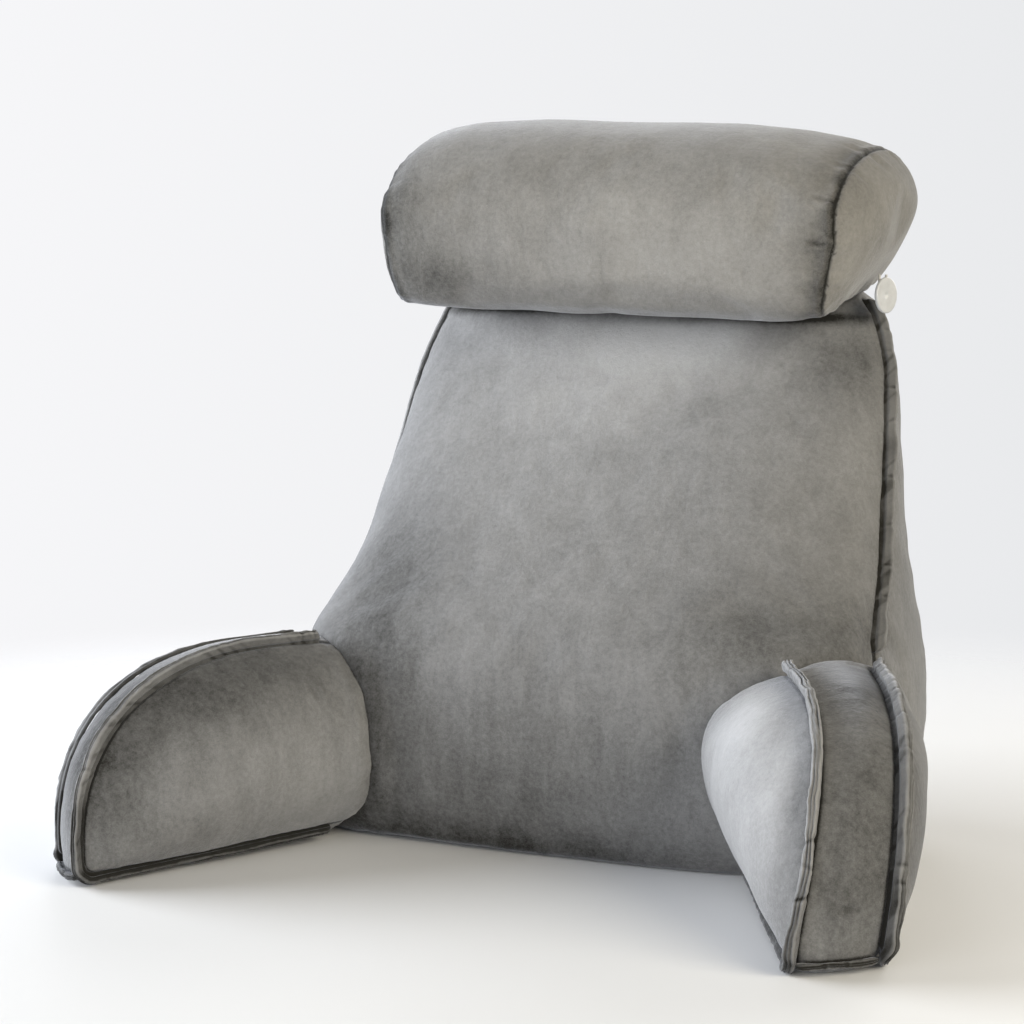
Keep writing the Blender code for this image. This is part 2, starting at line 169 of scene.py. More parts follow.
def addObject(name, mesh, material):
    piece = bpy.data.objects.new(name, mesh)
    bpy.context.scene.collection.objects.link(piece)
    mesh.materials.clear()
    mesh.materials.append(material)
    mesh.shade_smooth()
    return piece


def ringMesh(name, rings):
    # A closed skin over rings of points (rings, points of a ring, 3), with a pole at each end.
    # Its UV map runs along the rings and around them, both in metres.
    rows, columns = rings.shape[:2]
    lengthwise = lengthAlong(rings.mean(axis=1))
    around = lengthAlong(np.vstack([rings[rows // 2], rings[rows // 2][:1]]))
    index = np.arange(rows * columns).reshape(rows, columns)
    index = np.column_stack([index, index[:, 0]])
    uv = np.stack(np.meshgrid(lengthwise, around, indexing="ij"), axis=-1)

    def corners(grid):
        # the four corners of every cell of the grid, in turn
        quads = [grid[:-1, :-1], grid[:-1, 1:], grid[1:, 1:], grid[1:, :-1]]
        return np.stack(quads, axis=2).reshape(-1, 4, *grid.shape[2:])

    quads, quadUv = corners(index), corners(uv)
    poles = rings[[0, -1]].mean(axis=1)
    points = np.vstack([rings.reshape(-1, 3), poles])
    last = len(points)
    fans = [np.column_stack([np.full(columns, last - 2), index[0, 1:], index[0, :-1]]),
            np.column_stack([np.full(columns, last - 1), index[-1, :-1], index[-1, 1:]])]
    middle = np.column_stack([np.zeros(columns), (around[1:] + around[:-1]) / 2])
    fanUv = [np.stack([middle + (lengthwise[end], 0), uv[end, a], uv[end, b]], axis=1)
             for end, a, b in ((0, slice(1, None), slice(None, -1)),
                               (-1, slice(None, -1), slice(1, None)))]
    solid = np.vstack([quads[:, [0, 1, 2]], quads[:, [0, 2, 3]], *fans])
    a, b, c = (points[solid[:, corner]] for corner in range(3))
    if (np.cross(a, b) * c).sum() < 0:
        quads, quadUv = quads[:, ::-1], quadUv[:, ::-1]
        fans, fanUv = [fan[:, ::-1] for fan in fans], [part[:, ::-1] for part in fanUv]
    mesh = bpy.data.meshes.new(name)
    mesh.from_pydata(points.tolist(), [], quads.tolist() + np.vstack(fans).tolist())
    flat = np.concatenate([quadUv.reshape(-1, 2), np.vstack(fanUv).reshape(-1, 2)])
    mesh.uv_layers.new(name="UVMap").data.foreach_set("uv", flat.ravel())
    return mesh


def inBox(points, low, high):
    return ((points > low) & (points < high)).all(axis=1)


def onePerCell(points, size):
    # The number of one point in each cubic cell of this size
    return np.unique(np.round(points / size), axis=0, return_index=True)[1]


def surfaceSamples(mesh, low, high, divisions=6, spacing=0.004):
    # Points spread over a mesh's triangles, as all shares a + b + c = 1 of their corners in
    # this many steps, kept in the box from low to high, one in each small cell
    steps = [(a, b, divisions - a - b) for a in range(divisions + 1)
             for b in range(divisions + 1 - a)]
    mesh.calc_loop_triangles()
    corners = np.empty(len(mesh.loop_triangles) * 3, np.int32)
    mesh.loop_triangles.foreach_get("vertices", corners)
    triangles = readPoints(mesh)[corners].reshape(-1, 3, 3)
    found = (np.array(steps) / divisions @ triangles).reshape(-1, 3)
    found = found[inBox(found, low, high)]
    return found[onePerCell(found, spacing)]


# shapes of the seams

# Levels of the back cushion: height, half width, and where its side seam and its rear panel lie
# along Y
backLevels = np.array([
    (0, 218, -62, 70), (6, 229, -60, 86), (25, 243, -54, 104), (60, 250, -46, 116),
    (100, 252, -36, 127), (140, 249, -27, 133), (175, 242, -12, 138), (205, 236, 18, 141),
    (235, 230.5, 46, 142), (270, 226, 65, 142), (310, 221.5, 82.5, 143), (350, 217.5, 100, 150),
    (385, 213, 115, 159), (412, 205, 125, 166), (430, 197.5, 131, 170), (443, 190, 134, 171),
])

# Fit of each arm pad, as its solid is drawn
armFits = {1: {"outerLean": 21, "outerSplay": 4, "leanPower": 1.0, "outerDrop": 0},
           -1: {"outerLean": 26, "outerSplay": 0, "leanPower": 1.4, "outerDrop": 4}}
armShape = {
    "innerRoot": (199.6, -102.0), "innerDirection": (0.322, -0.947),
    "outerRoot": (259.0, -71.0), "outerDirection": (0.284, -0.959),
    "length": 240.0, "innerExtra": 12.0, "height": 163.0, "topStraight": 56.0,
    "nosePower": 2.15, "toeRadius": 10.0, "seamHeight": 7.0, "arch": 6.0,
    "innerLean": 36.0, "leanPower": 1.4, "rootSpread": 33.0, "outerSpread": 6.0,
    "boxingSwell": 6.0, "underRun": 24.0,
}
armSteps = {"top": 24, "nose": 90, "toe": 14, "under": 70, "across": 60}  # points on each run


def backSeam(side, rear, low, high):
    # Down one side of the back cushion: x and y follow the levels' half width and seam line
    heights = np.linspace(high, low, 200)
    level, halfWidth, seamY, rearY = backLevels.T
    x = np.interp(heights, level, halfWidth - rear) * side
    y = np.interp(heights, level, rearY if rear else seamY)
    return np.column_stack([x, y, heights]) * mm


def armOutline(first):
    # Stations and heights round the D from this station: a straight top, a nose that is a
    # quarter of |s|^p + |z|^p = 1, a round toe and a slightly arched lower edge that runs on
    # past the start
    shape, steps = armShape, armSteps
    straight, length, radius = shape["topStraight"], shape["length"], shape["toeRadius"]
    top = np.linspace(first, straight, steps["top"])
    toeTop = shape["seamHeight"] + radius
    angle = np.linspace(math.pi / 2, 0, steps["nose"])[1:]
    share = 2 / shape["nosePower"]
    noseS = straight + (length - straight) * np.cos(angle) ** share
    noseZ = toeTop + (shape["height"] - toeTop) * np.sin(angle) ** share
    turn = np.linspace(0, -math.pi / 2, steps["toe"])[1:]
    middle = length - radius
    underS = np.linspace(middle, first - shape["underRun"], steps["under"])[1:]
    underZ = shape["seamHeight"] + shape["arch"] * np.clip(1 - underS / length, 0, 1)
    s = np.concatenate([top, noseS, middle + radius * np.cos(turn), underS])
    z = np.concatenate([np.full(len(top), shape["height"]), noseZ,
                        toeTop + radius * np.sin(turn), underZ])
    return s, z


def outlineNormals(s, z):
    # The path's own direction (ds, dz) turned outwards by a right angle
    ds, dz = np.gradient(s), np.gradient(z)
    length = np.hypot(ds, dz)
    return -dz / length, ds / length


def armPoints(s, z, across, proud, side):
    # A place on the arm: station s along the mean of the inner and outer lines, shared by
    # across, then leant out by height and reach, swung in at the root, and moved out by proud
    shape, fit = armShape, armFits[side]
    across = np.broadcast_to(across, s.shape)
    reach = np.clip(s / shape["length"], 0, 1)
    level = np.maximum(z, 0) / shape["height"]
    s = s + shape["innerExtra"] * reach * (1 - across)
    z = z - fit["outerDrop"] * across * level
    inner = np.array(shape["innerRoot"]) + np.outer(s, shape["innerDirection"])
    outer = np.array(shape["outerRoot"]) + np.outer(s, shape["outerDirection"])
    innerLean = shape["innerLean"] * level ** shape["leanPower"]
    outerLean = fit["outerLean"] * level ** fit["leanPower"] + fit["outerSplay"]
    swing = shape["outerSpread"] * across - shape["rootSpread"] * (1 - across)
    shift = ((innerLean + (outerLean - innerLean) * across) * reach
             + swing * (1 - level) * (1 - reach) + proud)
    outward = np.array([-shape["innerDirection"][1], shape["innerDirection"][0]])
    flat = inner + (outer - inner) * across[:, None] + np.outer(shift, outward)
    return np.column_stack([flat[:, 0] * side, flat[:, 1], np.maximum(z, 0)]) * mm


def armSeam(side, across):
    # Round the inner panel (across 0) or the outer one (across 1), a point each millimetre
    s, z = armOutline(-10)
    return evenPath(armPoints(s, z, across, 0, side), mm)


def toePath(side, across, proud=0):
    # Across the foot of the nose, which swells by half a sine wave, and proud of it
    reach = armShape["length"] + armShape["boxingSwell"] * np.sin(math.pi * across) + proud
    return armPoints(reach, np.full(len(across), armShape["seamHeight"]), across, 0, side)


# The neck roll: its half length and radii, the power of its section and how much higher that is
# towards the lower front, the flat below, its turns in degrees, its tucks and splay at the ends,
# and its middle's place
rollShape = {"halfLength": 230, "radiusY": 107, "radiusZ": 81, "power": 2.2, "cornerPower": 2.2,
             "cornerAngle": 225, "flat": 0.9, "pitch": 12, "tilt": 1.3, "tuckRight": 36,
             "tuckLeft": 8, "splay": 13, "middleY": 98, "middleZ": 514}


def rollSeam(x, depth, top, bottom):
    # One section of the roll: |y|^p + |z|^p = 1 with p higher at the lower front, flattened
    # below, turned by the pitch, splayed at the rear and tucked in below near its ends
    shape = rollShape
    angle = np.linspace(0, 2 * math.pi, 400)
    corner = np.maximum(np.cos(angle - math.radians(shape["cornerAngle"])), 0) ** 2
    share = 2 / (shape["power"] + shape["cornerPower"] * corner)
    y = shape["radiusY"] * depth * np.sign(np.cos(angle)) * np.abs(np.cos(angle)) ** share
    rise = np.sign(np.sin(angle)) * np.abs(np.sin(angle)) ** share
    z = shape["radiusZ"] * np.where(rise > 0, top * rise,
                                    bottom * np.maximum(rise, -shape["flat"]))
    pitch = math.radians(shape["pitch"])
    turnedY = y * math.cos(pitch) - z * math.sin(pitch)
    turnedZ = y * math.sin(pitch) + z * math.cos(pitch)
    end = np.sign(x) * (abs(x) / shape["halfLength"]) ** 4
    tuck = shape["tuckRight" if x > 0 else "tuckLeft"] * np.maximum(-z / shape["radiusZ"], 0)
    across = x + end * (shape["splay"] * (1 + y / shape["radiusY"]) / 2 - tuck)
    height = shape["middleZ"] + turnedZ - x * math.tan(math.radians(shape["tilt"]))
    return np.column_stack([across, shape["middleY"] + turnedY, height]) * mm


# node groups and finishes

def addNode(tree, kind, inputs=None, **settings):
    node = tree.nodes.new(kind)
    for name, value in settings.items():
        setattr(node, name, value)
    for name, value in (inputs or {}).items():
        if isinstance(value, bpy.types.NodeSocket):
            tree.links.new(value, node.inputs[name])
        else:
            node.inputs[name].default_value = value
    return node


def mathNode(tree, operation, first, second, third=None):
    inputs = {0: first, 1: second}
    if third is not None:
        inputs[2] = third
    return addNode(tree, "ShaderNodeMath", inputs, operation=operation).outputs[0]


def noiseNode(tree, place, scale, detail=2.0, roughness=0.5, distortion=0.0):
    return addNode(tree, "ShaderNodeTexNoise",
                   {"Vector": place, "Scale": scale, "Detail": detail, "Roughness": roughness,
                    "Distortion": distortion}).outputs["Fac"]


def rangeNode(tree, value, low, high, toLow=0.0, toHigh=1.0, kind="LINEAR"):
    # From low to high becomes toLow to toHigh, and nothing goes past either
    return addNode(tree, "ShaderNodeMapRange",
                   {"Value": value, "From Min": low, "From Max": high, "To Min": toLow,
                    "To Max": toHigh}, interpolation_type=kind).outputs["Result"]


def mixNode(tree, share, first, second):
    # A colour this share of the way from the first to the second
    return addNode(tree, "ShaderNodeMix", {0: share, 6: first, 7: second},
                   data_type="RGBA").outputs[2]


def connect(tree, shader, **sources):
    for name, source in sources.items():
        tree.links.new(source, shader.inputs[name.replace("_", " ")])


def bumpNode(tree, height, strength, distance):
    return addNode(tree, "ShaderNodeBump", {"Height": height, "Strength": strength,
                                            "Distance": distance}).outputs["Normal"]


pileLook = {"distortion": 0.7, "strokeScale": 70.0, "strokeStretch": 0.28, "strokeTilt": 0.12,
            "blotchScale": 260.0, "strokeHeight": 0.6, "blotchHeight": 0.4, "tuftHeight": 0.35}


def makePileGroup(look):
    # Short pile: clouds and long strokes where it was brushed, flecks of single tufts, and a
    # height for the bump made of tufts and soft dents. Tone is 1 + 4 * sum(amount * (noise - 0.5)).
    group = bpy.data.node_groups.new("plushPile", "ShaderNodeTree")
    group.interface.new_socket(name="Vector", in_out="INPUT", socket_type="NodeSocketVector")
    for title, value in (("Cloud Size", 0.06), ("Cloud", 0.1), ("Stroke", 0.05),
                         ("Fleck", 0.06), ("Tuft Size", 0.001)):
        socket = group.interface.new_socket(name=title, in_out="INPUT",
                                            socket_type="NodeSocketFloat")
        socket.default_value = value
    for title in ("Tone", "Height"):
        group.interface.new_socket(name=title, in_out="OUTPUT", socket_type="NodeSocketFloat")
    given = group.nodes.new("NodeGroupInput").outputs
    out = group.nodes.new("NodeGroupOutput")
    place = given["Vector"]
    perMetre = mathNode(group, "DIVIDE", 1.0, given["Cloud Size"])
    clouds = noiseNode(group, place, perMetre, 4.0, 0.55, look["distortion"])
    drawn = addNode(group, "ShaderNodeMapping",
                    {"Vector": place, "Scale": (1.0, 1.0, look["strokeStretch"]),
                     "Rotation": (0.0, look["strokeTilt"], 0.0)}).outputs["Vector"]
    strokes = noiseNode(group, drawn, look["strokeScale"], 3.0, 0.6, 0.4)
    tuftScale = mathNode(group, "DIVIDE", 1.0, given["Tuft Size"])
    tufts = noiseNode(group, place, tuftScale, 2.0, 0.7)
    blotches = noiseNode(group, place, look["blotchScale"], 2.0, 0.6)
    tone = 1.0
    for source, amount in ((clouds, given["Cloud"]), (strokes, given["Stroke"]),
                           (tufts, given["Fleck"]), (blotches, given["Fleck"])):
        centred = mathNode(group, "SUBTRACT", source, 0.5)
        swing = mathNode(group, "MULTIPLY", amount, 4.0)
        tone = mathNode(group, "MULTIPLY_ADD", centred, swing, tone)
    dents = mathNode(group, "MULTIPLY", strokes, look["strokeHeight"])
    dents = mathNode(group, "MULTIPLY_ADD", blotches, look["blotchHeight"], dents)
    height = mathNode(group, "MULTIPLY_ADD", tufts, look["tuftHeight"], dents)
    group.links.new(tone, out.inputs["Tone"])
    group.links.new(height, out.inputs["Height"])
    return group


pileGroup = makePileGroup(pileLook)


def newMaterial(name, roughness, **constants):
    # A Principled material with constants on its shader's own sockets
    material = bpy.data.materials.new(name)
    material.use_nodes = True
    shader = material.node_tree.nodes["Principled BSDF"]
    shader.inputs["Roughness"].default_value = roughness
    for socket, value in constants.items():
        shader.inputs[socket.replace("_", " ")].default_value = value
    return material, material.node_tree, shader


# Plush colours and pile, and where the painted shade line at seams fades and how dark it is
plushLook = {
    "dark": (0.014, 0.013, 0.010, 1), "light": (0.445, 0.443, 0.440, 1),
    "toneLow": 0.25, "toneHigh": 2.0, "shadeLineFrom": 0.35, "crease": 0.8,
    "cloudSize": 0.06, "cloud": 0.09, "stroke": 0.10, "fleck": 0.105, "roughness": 0.9,
    "sheen": 0.36, "sheenRoughness": 0.42, "sheenTint": (0.92, 0.94, 1.0, 1), "bump": 0.0018,
}


def makePlush(name, look):
    # Base colour runs from dark to light with the pile's tone plus the mesh's nap values, which
    # hold brushed pile and painted light and shade, less a painted shade line where the mesh's
    # own line value passes through 0
    material, tree, shader = newMaterial(
        name, look["roughness"], Sheen_Weight=look["sheen"],
        Sheen_Roughness=look["sheenRoughness"], Sheen_Tint=look["sheenTint"],
        Specular_IOR_Level=0.18)
    place = addNode(tree, "ShaderNodeTexCoord").outputs["Object"]
    pile = addNode(tree, "ShaderNodeGroup", node_tree=pileGroup)
    tree.links.new(place, pile.inputs["Vector"])
    for socket, key in (("Cloud Size", "cloudSize"), ("Cloud", "cloud"), ("Stroke", "stroke"),
                        ("Fleck", "fleck")):
        pile.inputs[socket].default_value = look[key]
    nap = addNode(tree, "ShaderNodeAttribute", attribute_name="nap").outputs["Fac"]
    crease = addNode(tree, "ShaderNodeAttribute", attribute_name="crease").outputs["Fac"]
    # the painted shade line
    closed = rangeNode(tree, mathNode(tree, "ABSOLUTE", crease, 0.0), look["shadeLineFrom"], 1.0,
                       look["crease"], 0.0, "SMOOTHSTEP")
    tone = mathNode(tree, "ADD", pile.outputs["Tone"], nap)
    tone = mathNode(tree, "SUBTRACT", tone, closed)
    share = rangeNode(tree, tone, look["toneLow"], look["toneHigh"])
    connect(tree, shader, Base_Color=mixNode(tree, share, look["dark"], look["light"]),
            Normal=bumpNode(tree, pile.outputs["Height"], 0.6, look["bump"]))
    return material


plush = makePlush("greyPlush", plushLook)
# The roll's copy has a warmer light tone: painted warm light on the roll
rollPlush = makePlush("greyPlushRoll", dict(plushLook, light=(0.458, 0.443, 0.412, 1)))
print("plush ready")


# padded pieces

clothLook = {"quality": 4, "mass": 0.2, "air_damping": 2, "tension_stiffness": 15,
             "compression_stiffness": 15, "shear_stiffness": 6, "bending_stiffness": 3}
lastFrame = 20
weldDistance = 0.00002
# How the cloth is held, in metres: less and less up to the seam's distance from a seam; and
# fully up to the first distance from the floor or a neighbour, then less over the second one.
# It isn't smoothed within about the stiff distance of a seam, nor where it lies flat.
holdLook = {"seam": 0.010, "floor": (0.002, 0.012), "touch": (0.003, 0.019), "reach": 0.024,
            "stiff": 0.006, "flat": 0.8, "lastRounds": 8}


def evaluatedMesh(piece):
    graph = bpy.context.evaluated_depsgraph_get()
    return bpy.data.meshes.new_from_object(piece.evaluated_get(graph))


def remeshed(name, node, voxel):
    # An even skin over a copy of the solid, whose loose triangles are merged first
    piece = bpy.data.objects.new(name, nodes[node].data.copy())
    bpy.context.scene.collection.objects.link(piece)
    weld = piece.modifiers.new("weld", "WELD")
    weld.merge_threshold = weldDistance
    skin = piece.modifiers.new("skin", "REMESH")
    skin.mode = "VOXEL"
    skin.voxel_size = voxel
    mesh = evaluatedMesh(piece)
    piece.modifiers.clear()
    piece.data = mesh
    return piece


def relaxed(mesh, points, free, rounds):
    # Each round moves a free point half of the way to the mean of its neighbours
    ends = np.empty(len(mesh.edges) * 2, np.int32)
    mesh.edges.foreach_get("vertices", ends)
    a, b, count = ends[0::2], ends[1::2], len(points)
    neighbours = np.bincount(ends, minlength=count)[:, None]
    for _ in range(rounds):
        total = np.column_stack([np.bincount(a, points[b, axis], count)
                                 + np.bincount(b, points[a, axis], count) for axis in range(3)])
        points = points + 0.5 * free[:, None] * (total / neighbours - points)
    return points


def eased(mesh, points, free, rounds):
    # Relaxed, with the relaxed loss given back, so facets go and the fullness stays
    first = relaxed(mesh, points, free, rounds)
    return first + relaxed(mesh, points - first, free, rounds)


def inflate(piece, held, pressure, extraCloth, cap):
    # Cloth with air inside and a little more cloth than the shape needs. A move of length d
    # becomes cap * tanh(d / cap), so that no point goes further than the cap.
    start = readPoints(piece.data)
    group = piece.vertex_groups.new(name="held")  # its weights are in tenths
    level = np.round(held * 10).astype(int)
    for step in range(1, 11):
        group.add(np.flatnonzero(level == step).tolist(), step / 10, "REPLACE")
    cloth = piece.modifiers.new("cloth", "CLOTH")
    settings = cloth.settings
    for name, value in clothLook.items():
        setattr(settings, name, value)
    settings.vertex_group_mass = "held"
    settings.use_pressure = True
    settings.uniform_pressure_force = pressure
    settings.shrink_min = -extraCloth
    settings.effector_weights.gravity = 0
    cloth.collision_settings.use_collision = False
    scene = bpy.context.scene
    scene.frame_start, scene.frame_end = 1, lastFrame
    for number in range(1, lastFrame + 1):
        scene.frame_set(number)
    mesh = evaluatedMesh(piece)
    move = readPoints(mesh) - start
    length = np.maximum(np.linalg.norm(move, axis=1), 1e-9)[:, None]
    bpy.data.meshes.remove(mesh)
    piece.modifiers.clear()
    piece.vertex_groups.clear()
    scene.frame_set(1)
    writePoints(piece.data, start + move * (cap * np.tanh(length / cap) / length))
    print(piece.name, "filled, mean move", round(float(length.mean()) / mm, 2), "mm")


def subdivided(piece):
    finish = piece.modifiers.new("finish", "SUBSURF")
    finish.levels = finish.render_levels = 1
    mesh = evaluatedMesh(piece)
    piece.modifiers.clear()
    piece.data = mesh


def falling(distance, start, over):
    # 1 up to the start, falling to 0 over this much further
    return 1 - smooth((distance - start) / over)


def touching(points, neighbours):
    # 1 where a neighbour's solid is near, falling to 0 further off
    touch, reach = np.zeros(len(points)), holdLook["reach"]
    for name in neighbours:
        low, high = (np.array(corner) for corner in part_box(name))
        near = np.flatnonzero(inBox(points, low - reach, high + reach))
        if len(near):
            box = points[near].min(axis=0) - reach, points[near].max(axis=0) + reach
            away = nearestOn(points[near], surfaceSamples(nodes[name].data, *box))[0]
            touch[near] = np.maximum(touch[near], falling(away, *holdLook["touch"]))
    return touch


def makePad(name, node, look):
    # Remesh, hold the cloth along its seams, its neighbours and the surface it rests on, fill
    # it, subdivide it, and add what its maker sewed and its stuffing pushed
    piece = remeshed(name, node, look["voxel"])
    points = readPoints(piece.data)
    toSeam = nearestOn(points, np.vstack([seam["path"] for seam in look["seams"]]))[0]
    floorHold = falling(points[:, 2], *holdLook["floor"]) * look["rests"]
    held = np.maximum.reduce([falling(toSeam, 0, holdLook["seam"]),
                              touching(points, look["neighbours"]), floorHold])
    stiff = 1 - smooth(toSeam / holdLook["stiff"] - 0.3)
    free = 1 - np.maximum(stiff, floorHold > holdLook["flat"])
    points = eased(piece.data, points, free, look["relax"])
    start = points - readNormals(piece.data) * (look["inset"] * (1 - held))[:, None]
    writePoints(piece.data, start)
    inflate(piece, held, look["pressure"], look["extraCloth"], look["cap"])
    points = eased(piece.data, readPoints(piece.data), free, holdLook["lastRounds"])
    writePoints(piece.data, points)
    subdivided(piece)
    shapePad(piece, look)
    piece.name = name
    return piece


# The band of painted shade beside a seam, and its gathers: amount, size and seed of each
# soft wave
shadeBandWaves = ((0.55, 0.036, 51), (0.45, 0.013, 61))
gatherWaves = ((1.0, 1.0, 11), (0.6, 0.55, 31))
farAway = 1000.0  # line widths from any line


def shapePad(piece, look):
    # Moves each point along its normal by the sum of what is sewn and stuffed near it, and
    # keeps how light it is, from its pile and from painted light and shade, and how far it is
    # from a painted shade line between panels
    mesh = piece.data
    points = readPoints(mesh)
    rise, nap = np.zeros((2, len(points)))
    crease = np.full(len(points), farAway)
    for number, seam in enumerate(look["seams"]):
        away, sample = nearestOn(points, seam["path"])
        along = lengthAlong(seam["path"])[sample]
        # the side of the seam that a point is on, and its distance in line widths
        across = (points - seam["path"][sample])[:, 0] * seam["towards"]
        line = np.where(across < 0, -away, away) / seam["line"]
        crease = np.where(np.abs(line) < np.abs(crease), line, crease)
        # a band of painted shade beside the seam, on the side away from its end panel
        band = seam["shadeBand"] * (1 + sum(amount * softWave(along, size, seed + number)
                                          for amount, size, seed in shadeBandWaves))
        nap -= seam["shadeBandTone"] * (1 - smooth(away / band)) * (across < mm)
        # gathers: waves along the seam that start beside it and fade over their reach
        gather = sum(amount * softWave(along, seam["wave"] * size, seed + number)
                     for amount, size, seed in gatherWaves)
        share = away / seam["reach"]
        rise += seam["gather"] * gather * share * np.exp(1 - share) * np.exp(-share)
        rise -= seam["depth"] * bell(away, seam["width"])
        # painted shade in the seam's valley
        nap -= seam["shade"] * bell(away, seam["width"] * 0.9)
    for fold in look["folds"]:
        # a fold: a valley with a lower ridge beside it and painted shade in the valley, fading out
        # towards both ends
        away, sample = nearestOn(points, fold["path"])
        fade = np.sin(math.pi * np.linspace(0.02, 0.98, len(fold["path"])))[sample]
        width = fold["width"]
        rise += fade * fold["depth"] * (0.55 * bell(away - 1.9 * width, width)
                                        - bell(away, width))
        nap -= fade * fold["shade"] * bell(away, width)
    free = 1 - touching(points, look["neighbours"])
    for size, height, seed in look["unevenness"]:
        rise += height * softNoise(points, size, seed) * free
    # marks of pile tone and of painted light and shade
    for mark in look["napAndShadeMarks"]:
        away = (points - np.array(mark[0:3]) * mm) / (np.array(mark[3:6]) * mm)
        nap += mark[6] * np.exp(-(away**2).sum(axis=1))
    points = points + readNormals(mesh) * rise[:, None]
    # where it meets the other cushion, the gap draws a painted shade line
    if look["meets"]:
        points, gap = metBy(points, bpy.data.objects[look["meets"]].data)
        crease = np.where(gap < np.abs(crease), gap, crease)
    points[:, 2] = np.maximum(points[:, 2], 0)
    writePoints(mesh, points)
    addValues(mesh, "nap", nap)
    addValues(mesh, "crease", np.clip(crease, -8, 8))


meetLook = {"margin": 0.015, "cell": 0.01, "reach": 0.022, "within": 0.016, "sunk": 0.0008,
            "joins": 0.012, "blend": 0.007, "line": 0.0015}


def metBy(points, skin):
    # Where this cloth meets the other cushion's skin, it runs up to it: a height under 5 mm
    # above the skin becomes -0.8 mm, and one from 5 to 12 mm is stretched to join. The gap
    # left over the skin, in line widths, draws a painted shade line between the two.
    look, (other, normals) = meetLook, (readPoints(skin), readNormals(skin))
    close = inBox(other, points.min(axis=0) - look["margin"], points.max(axis=0) + look["margin"])
    other, normals = other[close], normals[close]
    coarse = other[onePerCell(other, look["cell"])]
    near = np.flatnonzero(nearestOn(points, coarse)[0] < look["reach"])
    away, sample = nearestOn(points[near], other)
    height = ((points[near] - other[sample]) * normals[sample]).sum(axis=1)
    share = np.clip((look["joins"] - height) / look["blend"], 0, 1) * (away < look["within"])
    move = share * (-look["sunk"] - height)
    points[near] += normals[sample] * move[:, None]
    gap = np.full(len(points), farAway)
    gap[near] = np.where(away < look["within"], np.abs(height + move) / look["line"], farAway)
    return points, gap


def seamRow(path, depth=2.0, width=4.0, gather=1.0, reach=14.0, wave=14.0, shade=0.12, line=5.0,
            towards=0, shadeBand=1.0, shadeBandTone=0.0):
    # A seam's valley, gathers and painted shade line, with its lengths turned into metres, and the
    # painted shade in its valley. Towards is the side of its end panel along X, and a band of
    # painted shade lies on the other side.
    return {"path": path, "depth": depth * mm, "width": width * mm, "gather": gather * mm,
            "reach": reach * mm, "wave": wave * mm, "shade": shade, "line": line * mm,
            "towards": towards, "shadeBand": shadeBand * mm, "shadeBandTone": shadeBandTone}


def foldRow(points, depth, width, shade=0.1):
    # A fold's path through these points, its depth and width, and how much painted shade lies
    # in it
    return {"path": evenPath(np.array(points) * mm, mm), "depth": depth * mm,
            "width": width * mm, "shade": shade}


# Voxel, inset, cap and unevenness (size, height, seed) are in metres, and extraCloth is a share.
# A mark of pile tone and painted light and shade is x, y, z, its three reaches, and how much
# lighter or darker.
backLook = {
    "voxel": 0.006, "relax": 34, "inset": 0.003, "pressure": 4.0, "extraCloth": 0.003,
    "cap": 0.005, "fill": 0.8, "rests": True, "meets": None,
    "neighbours": ["arm_left", "arm_right", "neck_roll"],
    "seams": [seamRow(backSeam(side, rear, 2, 443), depth, gather=gather, shade=shade, line=line)
              for side, rear, depth, gather, shade, line in (
                  (1, 0, 2.5, 1.0, 0.12, 4.6), (1, 1, 1.5, 0.5, 0.12, 1.6),
                  (-1, 0, 0.5, 1.0, 0.0, 0.8), (-1, 1, 1.5, 0.5, 0.12, 0.8))],
    "folds": [foldRow([(214, 84, 318), (190, 62, 322), (160, 42, 330)], 2.0, 4),
              foldRow([(213, 92, 338), (180, 62, 336), (150, 44, 342)], 1.6, 4)],
    "unevenness": [(0.11, 0.0024, 3), (0.045, 0.0009, 4), (0.018, 0.0003, 5)],
    # Mostly painted light and shade: a painted pool of light under the roll, painted shadow lines
    # where the roll rests on the back, painted shade along the floor, on the left flank and beside
    # the arms, with some pile tone
    "napAndShadeMarks": [
        (25, 92, 412, 125, 60, 34, 1.0), (30, 64, 374, 90, 70, 34, 0.26),
        (84, 58, 362, 34, 60, 26, -0.12), (-60, 50, 345, 95, 70, 46, 0.26),
        (-95, -10, 285, 60, 70, 45, 0.08), (30, -5, 290, 60, 70, 34, 0.08),
        (-95, 104, 433, 115, 30, 5, -1.4), (95, 102, 427, 115, 30, 5, -1.4),
        (124, 98, 414, 34, 60, 24, -0.50), (185, 98, 400, 50, 60, 30, -0.40),
        (-205, 90, 420, 60, 60, 40, -0.08), (-138, -60, 195, 48, 80, 75, -0.32),
        (-182, -50, 235, 36, 90, 60, -0.22), (-170, -100, 110, 46, 80, 80, -0.32),
        (232, -20, 176, 30, 70, 40, -0.30), (165, -75, 175, 50, 60, 30, -0.10),
        (238, 104, 210, 26, 70, 110, -0.16), (-165, -115, 50, 50, 80, 60, -0.12),
        (0, -115, 50, 420, 110, 95, -0.32), (-60, -115, 0, 220, 110, 24, -0.42),
        (150, -90, 195, 60, 60, 44, -0.22), (210, -60, 210, 40, 60, 60, -0.10),
        (192, 50, 385, 50, 60, 30, -0.22), (90, 0, 285, 40, 60, 22, -0.04),
        (130, -100, 40, 60, 60, 50, 0.14),
    ],
}
